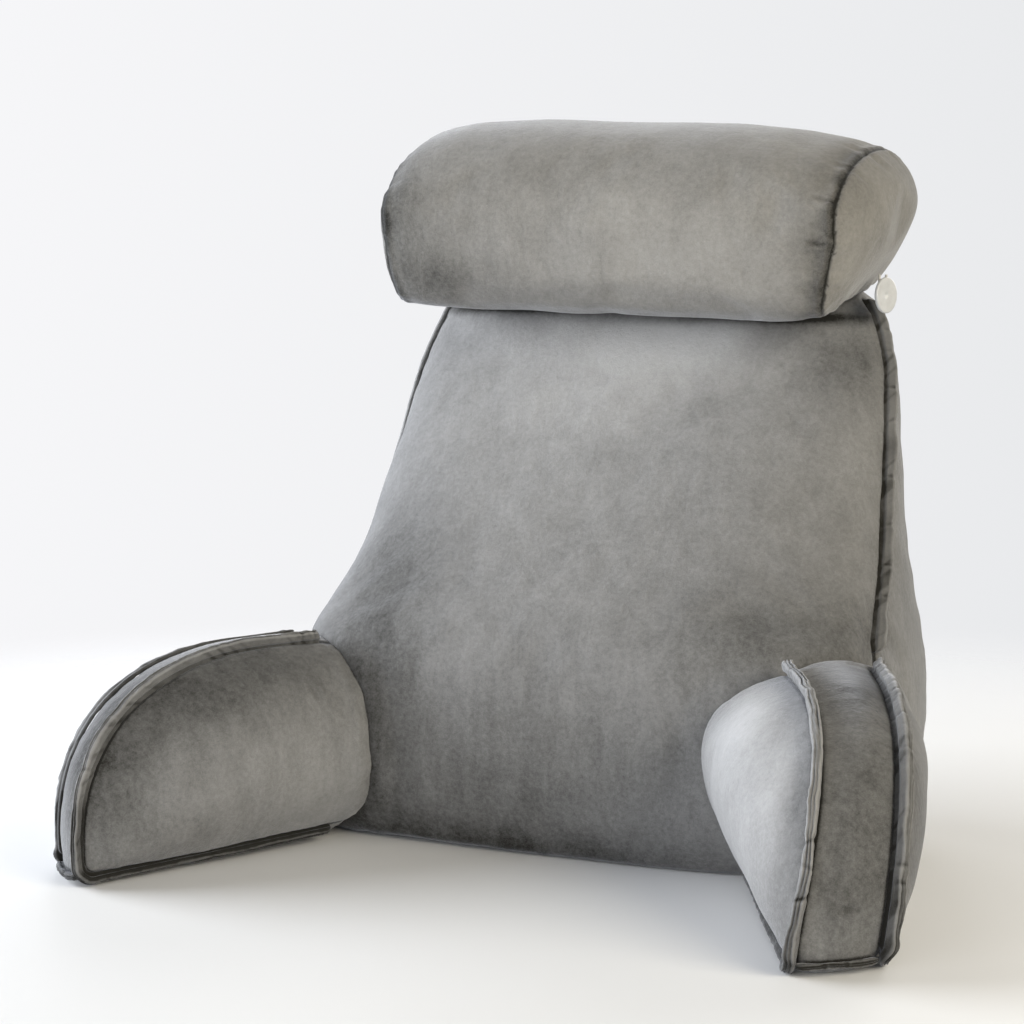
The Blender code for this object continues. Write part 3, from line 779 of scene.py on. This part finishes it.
rollLook = {
    "voxel": 0.004, "relax": 26, "inset": 0.0025, "pressure": 4.0, "extraCloth": 0.003,
    "cap": 0.004, "fill": 0.9, "rests": False, "meets": None, "neighbours": ["back_cushion"],
    "seams": [seamRow(rollSeam(201, 0.93, 0.69, 0.93), 3.4, 3, 1.6, reach=13, wave=10,
                      shade=0.30, line=1.6, towards=1, shadeBand=19, shadeBandTone=0.52),
              seamRow(rollSeam(-197, 0.93, 0.71, 0.91), 2.6, 3, 1.4, reach=13, wave=11,
                      shade=0.2, line=1.6, towards=-1, shadeBand=12, shadeBandTone=0.4)],
    "folds": [foldRow([(200, 0, 486), (190, 0, 487), (176, 1, 489)], 1.6, 2.2, 0.35),
              foldRow([(199, 2, 458), (190, 3, 461), (180, 3, 464)], 1.5, 2.0, 0.35),
              foldRow([(203, 6, 519), (192, 4, 522), (180, 3, 526)], 1.3, 2.2, 0.3),
              foldRow([(197, 8, 445), (188, 9, 446), (176, 10, 449)], 1.3, 2.0, 0.3),
              foldRow([(205, 24, 560), (192, 20, 560), (178, 17, 560)], 1.4, 2.4, 0.3)],
    "unevenness": [(0.10, 0.0022, 13), (0.04, 0.0008, 14)],
    # Pile tone with painted light and shade: painted light along the top, the lower front and the
    # right end panel, painted shade at the left end and beside the right seam, and a darker patch
    # at the lower left
    "napAndShadeMarks": [
        (-186, 0, 515, 30, 80, 80, -0.36), (178, 0, 470, 18, 60, 50, -0.16),
        (182, 20, 550, 16, 50, 30, -0.10), (0, 0, 520, 400, 90, 90, -0.06),
        (-146, 2, 462, 32, 30, 20, -0.25), (-165, 6, 446, 40, 40, 16, -0.14),
        (60, -4, 465, 120, 40, 40, 0.30), (20, -8, 515, 110, 50, 40, 0.16),
        (150, 0, 500, 40, 50, 40, 0.10), (135, 6, 446, 40, 40, 18, 0.16),
        (198, 20, 545, 20, 40, 40, -0.10), (150, 30, 572, 60, 60, 30, 0.16),
        (0, 40, 585, 200, 60, 24, 0.20), (206, 31, 466, 24, 40, 30, 0.20),
        (235, 50, 500, 20, 70, 60, 0.12),
    ],
}
armFolds = {
    1: [foldRow([(274, -322, 50), (290, -326, 45), (308, -321, 43), (326, -310, 44),
                 (340, -298, 48)], 1.2, 2.0, 0.18)],
    -1: [foldRow([(-186, -166, 156), (-178, -158, 130), (-171, -152, 104), (-168, -150, 84)],
                 1.0, 3.0, 0.14)],
}
# Pile tone with painted light and shade: on the right arm a painted highlight on the inner panel
# and painted shade on the boxing and its top near the root; on the left arm painted shade on the
# upper and outer places and a little painted light low near the root
armNapAndShadeMarks = {
    1: [(190, -200, 120, 45, 70, 70, 0.46), (235, -270, 100, 32, 60, 60, 0.42),
        (250, -275, 124, 12, 70, 50, 0.30), (304, -290, 85, 36, 100, 110, -0.42),
        (262, -150, 172, 60, 80, 30, -0.85), (262, -112, 182, 60, 40, 26, -0.36),
        (345, -240, 90, 22, 140, 120, -0.28), (196, -196, 150, 36, 46, 34, 0.50)],
    -1: [(-240, -270, 145, 60, 60, 40, -0.34), (-262, -300, 85, 24, 40, 60, -0.20),
         (-205, -200, 148, 90, 90, 32, -0.26), (-180, -170, 55, 50, 70, 45, 0.18),
         (-200, -220, 80, 120, 160, 120, -0.08), (-305, -310, 80, 28, 70, 80, -0.30),
         (-280, -318, 55, 24, 40, 50, -0.24), (-305, -250, 130, 34, 110, 90, -0.36),
         (-232, -278, 28, 60, 40, 24, -0.14), (-215, -170, 168, 70, 60, 22, -0.12)],
}
armLooks = {
    side: {
        "voxel": 0.005, "relax": 16, "inset": 0.0025, "pressure": 4.0, "extraCloth": 0.003,
        "cap": 0.004, "fill": 0.75, "rests": True, "meets": "backCushion",
        "neighbours": ["back_cushion"],
        "seams": [seamRow(armSeam(side, 0), 2.6, 4, 0.7, 12, 13, 0.25, 6.0),
                  seamRow(armSeam(side, 1), 2.6, 4, 0.7, 12, 12, 0.25, 6.0),
                  seamRow(toePath(side, np.linspace(0, 1, armSteps["across"])), 1.5, 4, 0.4, 12,
                          12, 0.1)],
        "folds": armFolds[side],
        "unevenness": [(0.08, 0.0018, 23 + side), (0.035, 0.0007, 27 + side)],
        "napAndShadeMarks": armNapAndShadeMarks[side],
    } for side in (1, -1)
}

pads = [("backCushion", "back_cushion", backLook), ("neckRoll", "neck_roll", rollLook),
        ("armRight", "arm_right", armLooks[1]), ("armLeft", "arm_left", armLooks[-1])]
for name, node, look in pads:
    pad = makePad(name, node, look)
    pad.data.materials.clear()
    pad.data.materials.append(rollPlush if name == "neckRoll" else plush)
    pad.data.shade_smooth()
    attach(pad, "root")
    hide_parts(node)
    print(name, "made:", len(pad.data.polygons), "faces")


# seam allowances

# Soft waves along an allowance, by what they move: amount, size in millimetres and own seed
allowanceWaves = {
    "lean": (0.8, 15, 4), "height": (0.06, 19, 0), "heightFine": (0.04, 8, 1),
    "half": (0.14, 14, 2), "halfFine": (0.10, 6, 21), "groovePlace": (0.16, 33, 0),
    "grooveDepth": (0.6, 24, 10), "cant": (0.8, 22, 7), "ripple": (0.3, 3.6, 0),
    "waist": (0.1, 15, 8), "scallop": (0.34, 4.2, 9), "scallopFine": (0.204, 2.3, 12),
    "snake": (1.0, 47, 3), "foot": (0.11, 9, 30), "tone": (0.10, 17, 10),
    "wrinkleShade": (1.0, 5.5, 20),
}
grooves = ((-0.34, 5), (0.30, 6))  # across the top: place and seed


def allowanceSection(foot):
    # Across from -1 to 1 and level from below the seam to 1 at the top: up one wall, over the
    # folded edges, and down the other wall
    wall = np.array([-foot, -foot / 2, -foot / 5, 0.04, 0.12, 0.22, 0.34, 0.48, 0.62, 0.76, 0.88,
                     0.97])
    top = np.linspace(-1, 1, 25)[1:-1]
    side = np.concatenate([-np.ones(len(wall)), top, np.ones(len(wall))])
    level = np.concatenate([wall, np.ones(len(top)), wall[::-1]])
    return side, level


def betweenKinks(u, places, seed):
    # For each length u: how far it is from one kink to the next as 4t(1 - t), and a lean that
    # drifts between two random values and changes over 7 mm at the kink
    edges = np.concatenate([[u.min() - 1], sorted(places), [u.max() + 1]])
    number = np.clip(np.searchsorted(edges, u, side="right") - 1, 0, len(edges) - 2)
    share = (u - edges[number]) / (edges[number + 1] - edges[number])
    ends = np.random.default_rng(seed).uniform(-1, 1, (len(edges), 2))
    joints = np.column_stack([edges[:-1] + 3.5, edges[1:] - 3.5]).ravel()
    return 4 * share * (1 - share), np.interp(u, joints, ends[:-1].ravel())


def makeAllowance(name, node, path, outward, look, knots=(), slim=None):
    # The section carried along the seam. Between kinks it is puffed and leans one way; at a
    # kink (millimetres along, depth, slant) a fold crosses it; a knot (millimetres along,
    # width, growth) makes it thicker and higher.
    path, outward, seed = path * mm, unit(outward), look["seed"]
    slim = (np.ones(len(path)) if slim is None else slim)[:, None]
    sideways = unit(np.cross(np.gradient(path, axis=0), outward))
    along = lengthAlong(path) / mm
    side, level = allowanceSection(look["foot"] / look["height"])
    u = along[:, None] + 0 * side
    a = side + 0 * u
    onTop = np.abs(side) < 1

    def wave(kind, shift=0, further=0):
        amount, size, own = allowanceWaves[kind]
        return amount * softWave(u + shift, size, seed + own + further)

    puff, tilt = betweenKinks(along, [kink[0] for kink in look["kinks"]], seed)
    puff = puff[:, None] ** 0.45
    height = look["height"] * (0.95 + 0.05 * puff + wave("height") + wave("heightFine")) * slim
    half = look["thickness"] / 2 * (1 - look["puff"] + look["puff"] * puff + wave("half")
                                    + wave("halfFine")) * slim ** 0.6
    for place, width, extra in knots:
        growth = 0.6 * extra * bell(u - place, width)
        height, half = height + growth, half + growth

    # the top: rounded at both edges, with a groove beside each folded panel
    rounding = look["round"] * (1 - np.sqrt(1 - np.abs(a) ** 2.6 * 0.999))
    rise = np.where(onTop, height - rounding, level * (height - look["round"]))
    for middle, number in grooves:
        centre = middle + wave("groovePlace", further=number)
        deep = look["groove"] * (0.75 + wave("grooveDepth", further=number))
        rise = rise - onTop * np.maximum(deep, 0) * bell(a - centre, 0.15)
    rise = rise + onTop * (wave("cant") * a + wave("ripple", 37 * a))

    # the walls: a narrow neck at the seam, a waist, and a scalloped upper edge
    neck = look["neck"] / 2
    wallHalf = neck + (half - neck) * smooth(level / 0.42)
    wallHalf = wallHalf - 0.35 * bell(level - 0.62 - wave("waist"), 0.10)
    across = np.where(onTop, a * half * (1 - 0.03 * a * a), a * np.where(level < 0, neck, wallHalf))
    share = np.clip(rise / look["height"], 0, 1.4)
    scallop = wave("scallop", 500 * (a > 0)) + wave("scallopFine")
    across = across + scallop * smooth((share - 0.5) / 0.4) * np.abs(a)
    across = across + (look["lean"] * tilt[:, None] + wave("lean")) * share ** 1.8
    across = across + look["snake"] * wave("snake") * share
    shade = 0.0
    # each kink also lays painted shade in its fold
    for place, depth, slant in look["kinks"]:
        line = u - place - slant * a - 1.6 * share * np.sign(slant)
        fold = bell(line, 2.2) - 0.4 * bell(line - 4.4, 2.6)
        rise = rise - onTop * 0.55 * depth * fold
        across = across - a * (1 - onTop) * depth * 0.35 * fold
        shade = shade + 0.30 * depth * bell(line, 1.2) * share - 0.08 * bell(line - 2.8, 1.4)
    ends = np.sqrt(np.clip(np.minimum(u, along[-1] - u) / look["ends"] + 0.02, 0, 1))
    rise = np.where(rise > 0, rise * ends, rise)
    across = across * (0.35 + 0.65 * ends)
    rings = (path[:, None] + sideways[:, None] * (across * mm)[..., None]
             + outward[:, None] * (rise * mm)[..., None])
    rings[..., 2] = np.maximum(rings[..., 2], 0.0002)
    mesh = ringMesh(name, rings)

    # its tone: a painted highlight on the folded edges with painted shade in the grooves beside
    # them, painted shade at the foot, in kinks, in slanting wrinkle lines on the walls, along the
    # slimmer underside and near the floor, soft random tone, and an offset for the whole
    # allowance that is partly its own tone and partly painted light and shade
    ridgeHighlight = onTop * (smooth((np.abs(a) - 0.45) / 0.3) - 0.6 * bell(np.abs(a) - 0.32, 0.13))
    wrinkleShade = np.maximum(wave("wrinkleShade", 7 * level * np.sign(a)) - 0.3, 0)
    nap = (look["ridgeHighlight"] * ridgeHighlight - look["footShade"] * (1 - smooth(share / (0.19 + wave("foot"))))
           + wave("tone") - shade - (1 - slim) - look["toneAndShade"]
           - look["low"] * (1 - smooth((rings[..., 2] / mm - 30) / 60))
           - 0.45 * wrinkleShade * (1 - 0.6 * onTop))
    addValues(mesh, "nap", np.concatenate([nap.ravel(), [0, 0]]))
    addValues(mesh, "crease", np.full(len(mesh.vertices), 4.0))
    piece = addObject(name, mesh, plushEdge)
    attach(piece, "root")
    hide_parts(node)


edgeLook = dict(plushLook, cloudSize=0.03, cloud=0.05, stroke=0.05, fleck=0.045, bump=0.0012)
plushEdge = makePlush("greyPlushEdge", edgeLook)


# The turn below, the path's spacing, how much of its end is left out, and how much slimmer the
# allowance is below
flangeShape = {"underTurn": 24, "spacing": 1.2, "last": 40, "slimmer": 0.36}


def armFlangePath(side, across, first, upperTurn):
    # The outline, the direction in which the allowance stands, and how slim it is: it points
    # down and is slimmer along the underside
    s, z = armOutline(first)
    outS, outZ = outlineNormals(s, z)
    shape, last = flangeShape, flangeShape["last"]
    upper, under = math.radians(upperTurn), math.radians(shape["underTurn"])
    away = 1 if across else -1
    turn = upper + (under - upper) * smooth(-1.5 * outZ)
    seam = armPoints(s, z, across, 0, side) / mm
    raised = armPoints(s + outS * np.cos(turn), z + outZ * np.cos(turn), across,
                       away * np.sin(turn), side) / mm
    run = lengthAlong(seam)
    at = np.linspace(0, run[-1] - last, int((run[-1] - last) / shape["spacing"]))
    path = np.column_stack([np.interp(at, run, seam[:, axis]) for axis in range(3)])
    outward = np.column_stack([np.interp(at, run, (raised - seam)[:, axis]) for axis in range(3)])
    slim = 1 - shape["slimmer"] * smooth(np.interp(at, run, -1.3 * outZ))
    return path, outward, slim


# A turn is in degrees: out of the D's plane on an arm, backward of sideways on the back. A kink
# is millimetres along, depth and slant.
# The last four numbers: an offset that is partly the allowance's own tone and partly painted light
# and shade, a painted highlight on the folded edges, painted shade at the foot, and painted shade
# near the floor
allowanceLook = {"height": 10.0, "thickness": 7.4, "foot": 8.0, "neck": 2.6, "groove": 1.5,
                 "round": 2.4, "snake": 1.3, "lean": 1.0, "puff": 0.05, "ends": 5.0,
                 "toneAndShade": 0.06, "ridgeHighlight": 0.24, "footShade": 0.4, "low": 0.3}
allowanceLooks = {
    "inner_right": dict(
        allowanceLook, turn=20, seed=107,
        kinks=[(20, 0.9, 0.6), (34, 0.7, -0.5), (56, 0.9, 1.0), (98, 0.4, 0.6), (252, 1.7, 1.8),
               (271, 0.9, -0.8), (289, 1.7, 1.4), (330, 0.8, 0.5), (405, 0.5, -0.6),
               (460, 0.5, 0.6)]),
    "inner_left": dict(
        allowanceLook, turn=22, seed=93, height=8.6, thickness=6.6, toneAndShade=0.20, ridgeHighlight=0.34,
        footShade=0.26,
        kinks=[(6, 1.2, 0.5), (18, 1.3, 0.4), (205, 0.3, 0.5), (253, 1.2, 0.8), (352, 0.7, 0.8),
               (447, 0.8, 0.6)]),
    "outer_right": dict(
        allowanceLook, turn=50, seed=147, thickness=8.2, groove=2.0, snake=2.0, puff=0.20,
        toneAndShade=0.18,
        kinks=[(24, 1.0, 0.6), (45, 0.8, -0.5), (64, 1.0, 0.8), (90, 0.7, 0.5), (108, 1.5, 1.2),
               (150, 1.2, -0.9), (187, 0.6, 0.6), (275, 1.0, 0.8), (290, 0.8, -0.6),
               (340, 1.2, 0.6), (420, 0.6, 0.5)]),
    "outer_left": dict(
        allowanceLook, turn=112, seed=133, height=7.0, thickness=5.6, snake=0.8, toneAndShade=0.12,
        footShade=0.26,
        kinks=[(40, 0.4, 0.5), (160, 0.4, 0.5), (214, 0.7, 0.6), (330, 0.6, 0.6),
               (390, 0.5, 0.5)]),
    "back_right": dict(
        allowanceLook, turn=30, seed=211, toneAndShade=0.31,
        kinks=[(28, 0.8, 0.5), (50, 0.7, -0.5), (80, 1.6, 0.6), (112, 1.0, -0.6),
               (158, 1.5, 1.0), (203, 1.1, -0.7), (237, 1.2, 0.8), (268, 0.9, 0.6)]),
    "back_left": dict(
        allowanceLook, turn=104, seed=209, height=7.0, thickness=3.8, snake=0.3, footShade=0.1,
        toneAndShade=-0.24,
        kinks=[(34, 0.7, 0.5), (75, 1.0, -0.6), (121, 0.8, 0.6), (170, 1.2, 0.8),
               (219, 0.8, -0.5), (262, 1.0, 0.6)]),
    "toe": dict(
        allowanceLook, height=4.4, thickness=4.8, round=1.6, groove=0.8, lean=0.8, snake=0.3,
        toneAndShade=0.45, kinks=[(18, 0.7, 0.4), (37, 0.9, -0.4)]),
}
armKnots = [(5, 5, 1.4), (337, 9, 2.2)]
backSeamEnds = (168, 442)
for word, side in sides.items():
    for across, panel, first in ((0, "inner", 6), (1, "outer", -10)):
        look = allowanceLooks[f"{panel}_{word}"]
        path, outward, slim = armFlangePath(side, across, first, look["turn"])
        makeAllowance(f"{panel}Allowance{word.title()}", f"arm_{panel}_flange_{word}", path,
                      outward, look, armKnots, slim)
    across = np.linspace(0.04, 0.96, 70)
    path = toePath(side, across) / mm
    makeAllowance(f"toeAllowance{word.title()}", f"arm_toe_flange_{word}", path,
                  toePath(side, across, 1) / mm - path,
                  dict(allowanceLooks["toe"], seed=190 + side))
    look = allowanceLooks[f"back_{word}"]
    path = evenPath(backSeam(side, 0, *backSeamEnds), flangeShape["spacing"] * mm) / mm
    lean = math.radians(look["turn"])
    outward = np.tile((math.cos(lean) * side, math.sin(lean), 0.0), (len(path), 1))
    makeAllowance(f"backAllowance{word.title()}", f"back_flange_{word}", path, outward, look)
print("seam allowances made")


# buttons and elastic loops

buttonLook = {"radius": 15.0, "thickness": 3.2, "edge": 1.1, "dish": 0.7, "dishRadius": 11.0,
              "dimple": 1.3, "dimpleRadius": 1.8, "stalkRadius": 1.6, "turn": 72.0,
              "right": (214.0, 108.0, 446.0), "left": (-209.0, 114.0, 451.0)}
buttonSteps = {"face": 26, "shoulder": 5, "rim": 13, "stalk": 12, "round": 72}
loopLook = {"radius": 1.1, "waist": 5.0, "rise": 17.0, "gap": 0.5, "steps": 40}


def turned(points, side, place):
    # From the button's own frame, whose Z is its axis, to its place: stood up to face -Y,
    # then turned to the side
    points = np.stack([points[..., 0], -points[..., 2], points[..., 1]], axis=-1)
    angle = math.radians(buttonLook["turn"]) * side
    x = points[..., 0] * math.cos(angle) - points[..., 1] * math.sin(angle)
    y = points[..., 0] * math.sin(angle) + points[..., 1] * math.cos(angle)
    return (np.stack([x, y, points[..., 2]], axis=-1) + place) * mm


def buttonRings(look):
    # Turned profile: a dished face with a dimple at its middle, a half-round rim, a flat back
    # and a short stalk. Radius and height are given for each ring.
    face, steps = look["thickness"] / 2, buttonSteps
    shoulder = look["radius"] - look["edge"]
    r = np.concatenate([np.linspace(0.15, look["dishRadius"], steps["face"]),
                        np.linspace(look["dishRadius"], shoulder, steps["shoulder"])[1:]])
    z = (face - look["dish"] * (1 - smooth(r / look["dishRadius"]))
         - look["dimple"] * bell(r, look["dimpleRadius"]))
    turn = np.linspace(math.pi / 2, -math.pi / 2, steps["rim"])[1:]
    rimR = shoulder + look["edge"] * np.cos(turn)
    rimZ = face * np.sin(turn)
    backR = [look["radius"] * 0.7, look["radius"] * 0.3, look["stalkRadius"] + 0.8]
    backZ = [-face, -face, -face - 0.2]
    stalkZ = np.linspace(-face - 1.0, -face - 8.0, steps["stalk"])
    r = np.concatenate([r, rimR, backR, np.full(len(stalkZ), look["stalkRadius"])])
    z = np.concatenate([z, rimZ, backZ, stalkZ])
    angle = np.linspace(0, 2 * math.pi, steps["round"], endpoint=False)
    return np.stack([np.outer(r, np.cos(angle)), np.outer(r, np.sin(angle)),
                     np.outer(z, np.ones(len(angle)))], axis=-1)


def tubeRings(path, radius, columns=14):
    # A circle of this radius carried along the path, at right angles to it
    along = unit(np.gradient(path, axis=0))
    beside = unit(np.cross(along, (0.31, 0.2, 0.93)))  # no part of the path runs this way
    above = np.cross(along, beside)
    angle = np.linspace(0, 2 * math.pi, columns, endpoint=False)
    return (path[:, None] + radius * (np.cos(angle)[None, :, None] * beside[:, None]
                                      + np.sin(angle)[None, :, None] * above[:, None]))


def makeButtonMaterial():
    # Cast plastic with faint clouds in its colour, its gloss and its surface
    material, tree, shader = newMaterial("buttonWhite", 0.3, Coat_Weight=0.25,
                                         Coat_Roughness=0.2)
    place = addNode(tree, "ShaderNodeTexCoord").outputs["Object"]
    cloud = noiseNode(tree, place, 140.0, 3.0)
    colour = mixNode(tree, cloud, (0.50, 0.51, 0.525, 1), (0.66, 0.675, 0.69, 1))
    connect(tree, shader, Base_Color=colour, Roughness=rangeNode(tree, cloud, 0, 1, 0.24, 0.42),
            Normal=bumpNode(tree, cloud, 0.2, 0.0004))
    return material


def makeElasticMaterial():
    # Knitted cover: chevrons from the piece's own UV map, sin(6500 * (x + 0.8 * zigzag(y)))
    material, tree, shader = newMaterial("elasticKnit", 0.8, Sheen_Weight=0.3)
    uv = addNode(tree, "ShaderNodeUVMap", uv_map="UVMap").outputs["UV"]
    parts = addNode(tree, "ShaderNodeSeparateXYZ", {"Vector": uv}).outputs
    zigzag = mathNode(tree, "PINGPONG", parts["Y"], 0.0009)
    run = mathNode(tree, "MULTIPLY_ADD", zigzag, 0.8, parts["X"])
    knit = mathNode(tree, "SINE", mathNode(tree, "MULTIPLY", run, 6500.0), 0.0)
    share = rangeNode(tree, knit, -1.0, 1.0)
    colour = mixNode(tree, share, (0.42, 0.41, 0.38, 1), (0.72, 0.70, 0.66, 1))
    connect(tree, shader, Base_Color=colour, Normal=bumpNode(tree, share, 0.6, 0.0003))
    return material


buttonWhite, elasticKnit = makeButtonMaterial(), makeElasticMaterial()
for word, side in sides.items():
    place = np.array(buttonLook[word])
    mesh = ringMesh(f"button{word.title()}", turned(buttonRings(buttonLook), side, place))
    button = addObject(f"button{word.title()}", mesh, buttonWhite)
    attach(button, "root")
    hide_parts(f"button_{word}")

    # down one leg, half a turn under the stalk, and up the other leg
    angle = np.linspace(0, math.pi, loopLook["steps"])
    down = np.linspace(loopLook["rise"], 0, loopLook["steps"])[:-1]
    waist = loopLook["waist"]
    leg = np.full(len(down), waist)
    x = np.concatenate([leg, waist * np.cos(angle), -leg])
    y = np.concatenate([down, -waist * np.sin(angle), down[::-1]])
    behind = -(buttonLook["thickness"] / 2 + loopLook["radius"] + loopLook["gap"])
    path = turned(np.column_stack([x, y, np.full(len(x), behind)]), side, place)
    mesh = ringMesh(f"elasticLoop{word.title()}", tubeRings(path, loopLook["radius"] * mm))
    loop = addObject(f"elasticLoop{word.title()}", mesh, elasticKnit)
    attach(loop, "root")
    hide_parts(f"button_loop_{word}")
print("buttons and loops made")


# floor, light and camera

stageLook = {"reach": 5.0, "level": -0.0005, "lines": 33, "fadeFrom": 0.5, "fadeTo": 1.3,
             "floor": (0.75, 0.75, 0.75, 1), "paler": 1.03,
             "backdropLeft": (0.93, 0.93, 0.947), "backdropRight": (0.80, 0.81, 0.825),
             "greyFrom": (-0.62, -0.15), "ambient": 0.15}
Softbox = namedtuple("Softbox", "name heading rise size power colour")
softboxes = [
    Softbox("windowLeft", -78, 14, (1.9, 1.4), 118, (0.90, 0.94, 1.0)),
    Softbox("leftRear", -150, 16, (1.4, 1.4), 20, (0.95, 0.97, 1.0)),
    Softbox("rearGlow", 160, 20, (1.6, 1.4), 30, (1.0, 0.98, 0.95)),
    Softbox("rightFill", 66, 22, (1.6, 1.4), 48, (1.0, 0.92, 0.75)),
    Softbox("lowFront", -6, 5, (2.2, 1.0), 30, (0.94, 0.96, 1.0)),
]
softboxDistance = 2.4
cameraLook = {"place": (0.7554, -1.8462, 0.4697), "pitch": 5.80, "heading": 24.24, "lens": 85,
              "sensor": 36}


def makeFloor(look):
    # A flat square grid that fades out with the distance from its middle
    line = np.linspace(-look["reach"], look["reach"], look["lines"])
    x, y = np.meshgrid(line, line)
    points = np.column_stack([x.ravel(), y.ravel(), np.full(x.size, look["level"])])
    index = np.arange(x.size).reshape(x.shape)
    quads = np.stack([index[:-1, :-1], index[:-1, 1:], index[1:, 1:], index[1:, :-1]], axis=-1)
    mesh = bpy.data.meshes.new("floor")
    mesh.from_pydata(points.tolist(), [], quads.reshape(-1, 4).tolist())
    material, tree, shader = newMaterial("paleFloor", 0.55, Specular_IOR_Level=0.25)
    place = addNode(tree, "ShaderNodeTexCoord").outputs["Object"]
    mottle = noiseNode(tree, place, 3.0)
    paler = tuple(value * look["paler"] for value in look["floor"])
    away = addNode(tree, "ShaderNodeVectorMath", {0: place}, operation="LENGTH").outputs["Value"]
    fade = rangeNode(tree, away, look["fadeFrom"], look["fadeTo"], 1.0, 0.0, "SMOOTHSTEP")
    connect(tree, shader, Base_Color=mixNode(tree, mottle, look["floor"], paler), Alpha=fade)
    floor = addObject("floor", mesh, material)


def makeWorld(look):
    # Seen directly the backdrop keeps its pale colour, a little greyer towards +X; as a light
    # it is dimmer
    world = bpy.data.worlds.new("studio")
    world.use_nodes = True
    tree = world.node_tree
    background = tree.nodes["Background"]
    direction = addNode(tree, "ShaderNodeTexCoord").outputs["Generated"]
    toRight = addNode(tree, "ShaderNodeSeparateXYZ", {"Vector": direction}).outputs["X"]
    share = rangeNode(tree, toRight, *look["greyFrom"])
    colour = mixNode(tree, share, (*look["backdropLeft"], 1), (*look["backdropRight"], 1))
    seen = addNode(tree, "ShaderNodeLightPath").outputs["Is Camera Ray"]
    connect(tree, background, Color=colour,
            Strength=rangeNode(tree, seen, 0, 1, look["ambient"], 1.0))
    bpy.context.scene.world = world


def makeLights():
    # Each softbox stands at a heading from the front, turning to the right, and a rise above
    # the floor, and looks at the middle of the pillow
    middle = Vector((0, 0, 0.25))
    for row in softboxes:
        light = bpy.data.lights.new(row.name, "AREA")
        light.shape = "RECTANGLE"
        light.size, light.size_y = row.size
        light.energy = row.power
        light.color = row.colour
        heading, rise = math.radians(row.heading), math.radians(row.rise)
        away = Vector((math.sin(heading) * math.cos(rise), -math.cos(heading) * math.cos(rise),
                       math.sin(rise)))
        lamp = bpy.data.objects.new(row.name, light)
        lamp.location = middle + away * softboxDistance
        lamp.rotation_euler = (-away).to_track_quat("-Z", "Y").to_euler()
        bpy.context.scene.collection.objects.link(lamp)


def makeCamera(look):
    # Level but for its pitch, and turned by its heading from facing +Y
    camera = bpy.data.cameras.new("camera")
    camera.lens = look["lens"]
    camera.sensor_width = look["sensor"]
    viewer = bpy.data.objects.new("camera", camera)
    viewer.location = look["place"]
    viewer.rotation_euler = (math.radians(90 - look["pitch"]), 0, math.radians(look["heading"]))
    bpy.context.scene.collection.objects.link(viewer)
    bpy.context.scene.camera = viewer


makeFloor(stageLook)
makeWorld(stageLook)
makeLights()
makeCamera(cameraLook)
bpy.context.scene.view_settings.view_transform = "Standard"
print("stage, lights and camera ready")
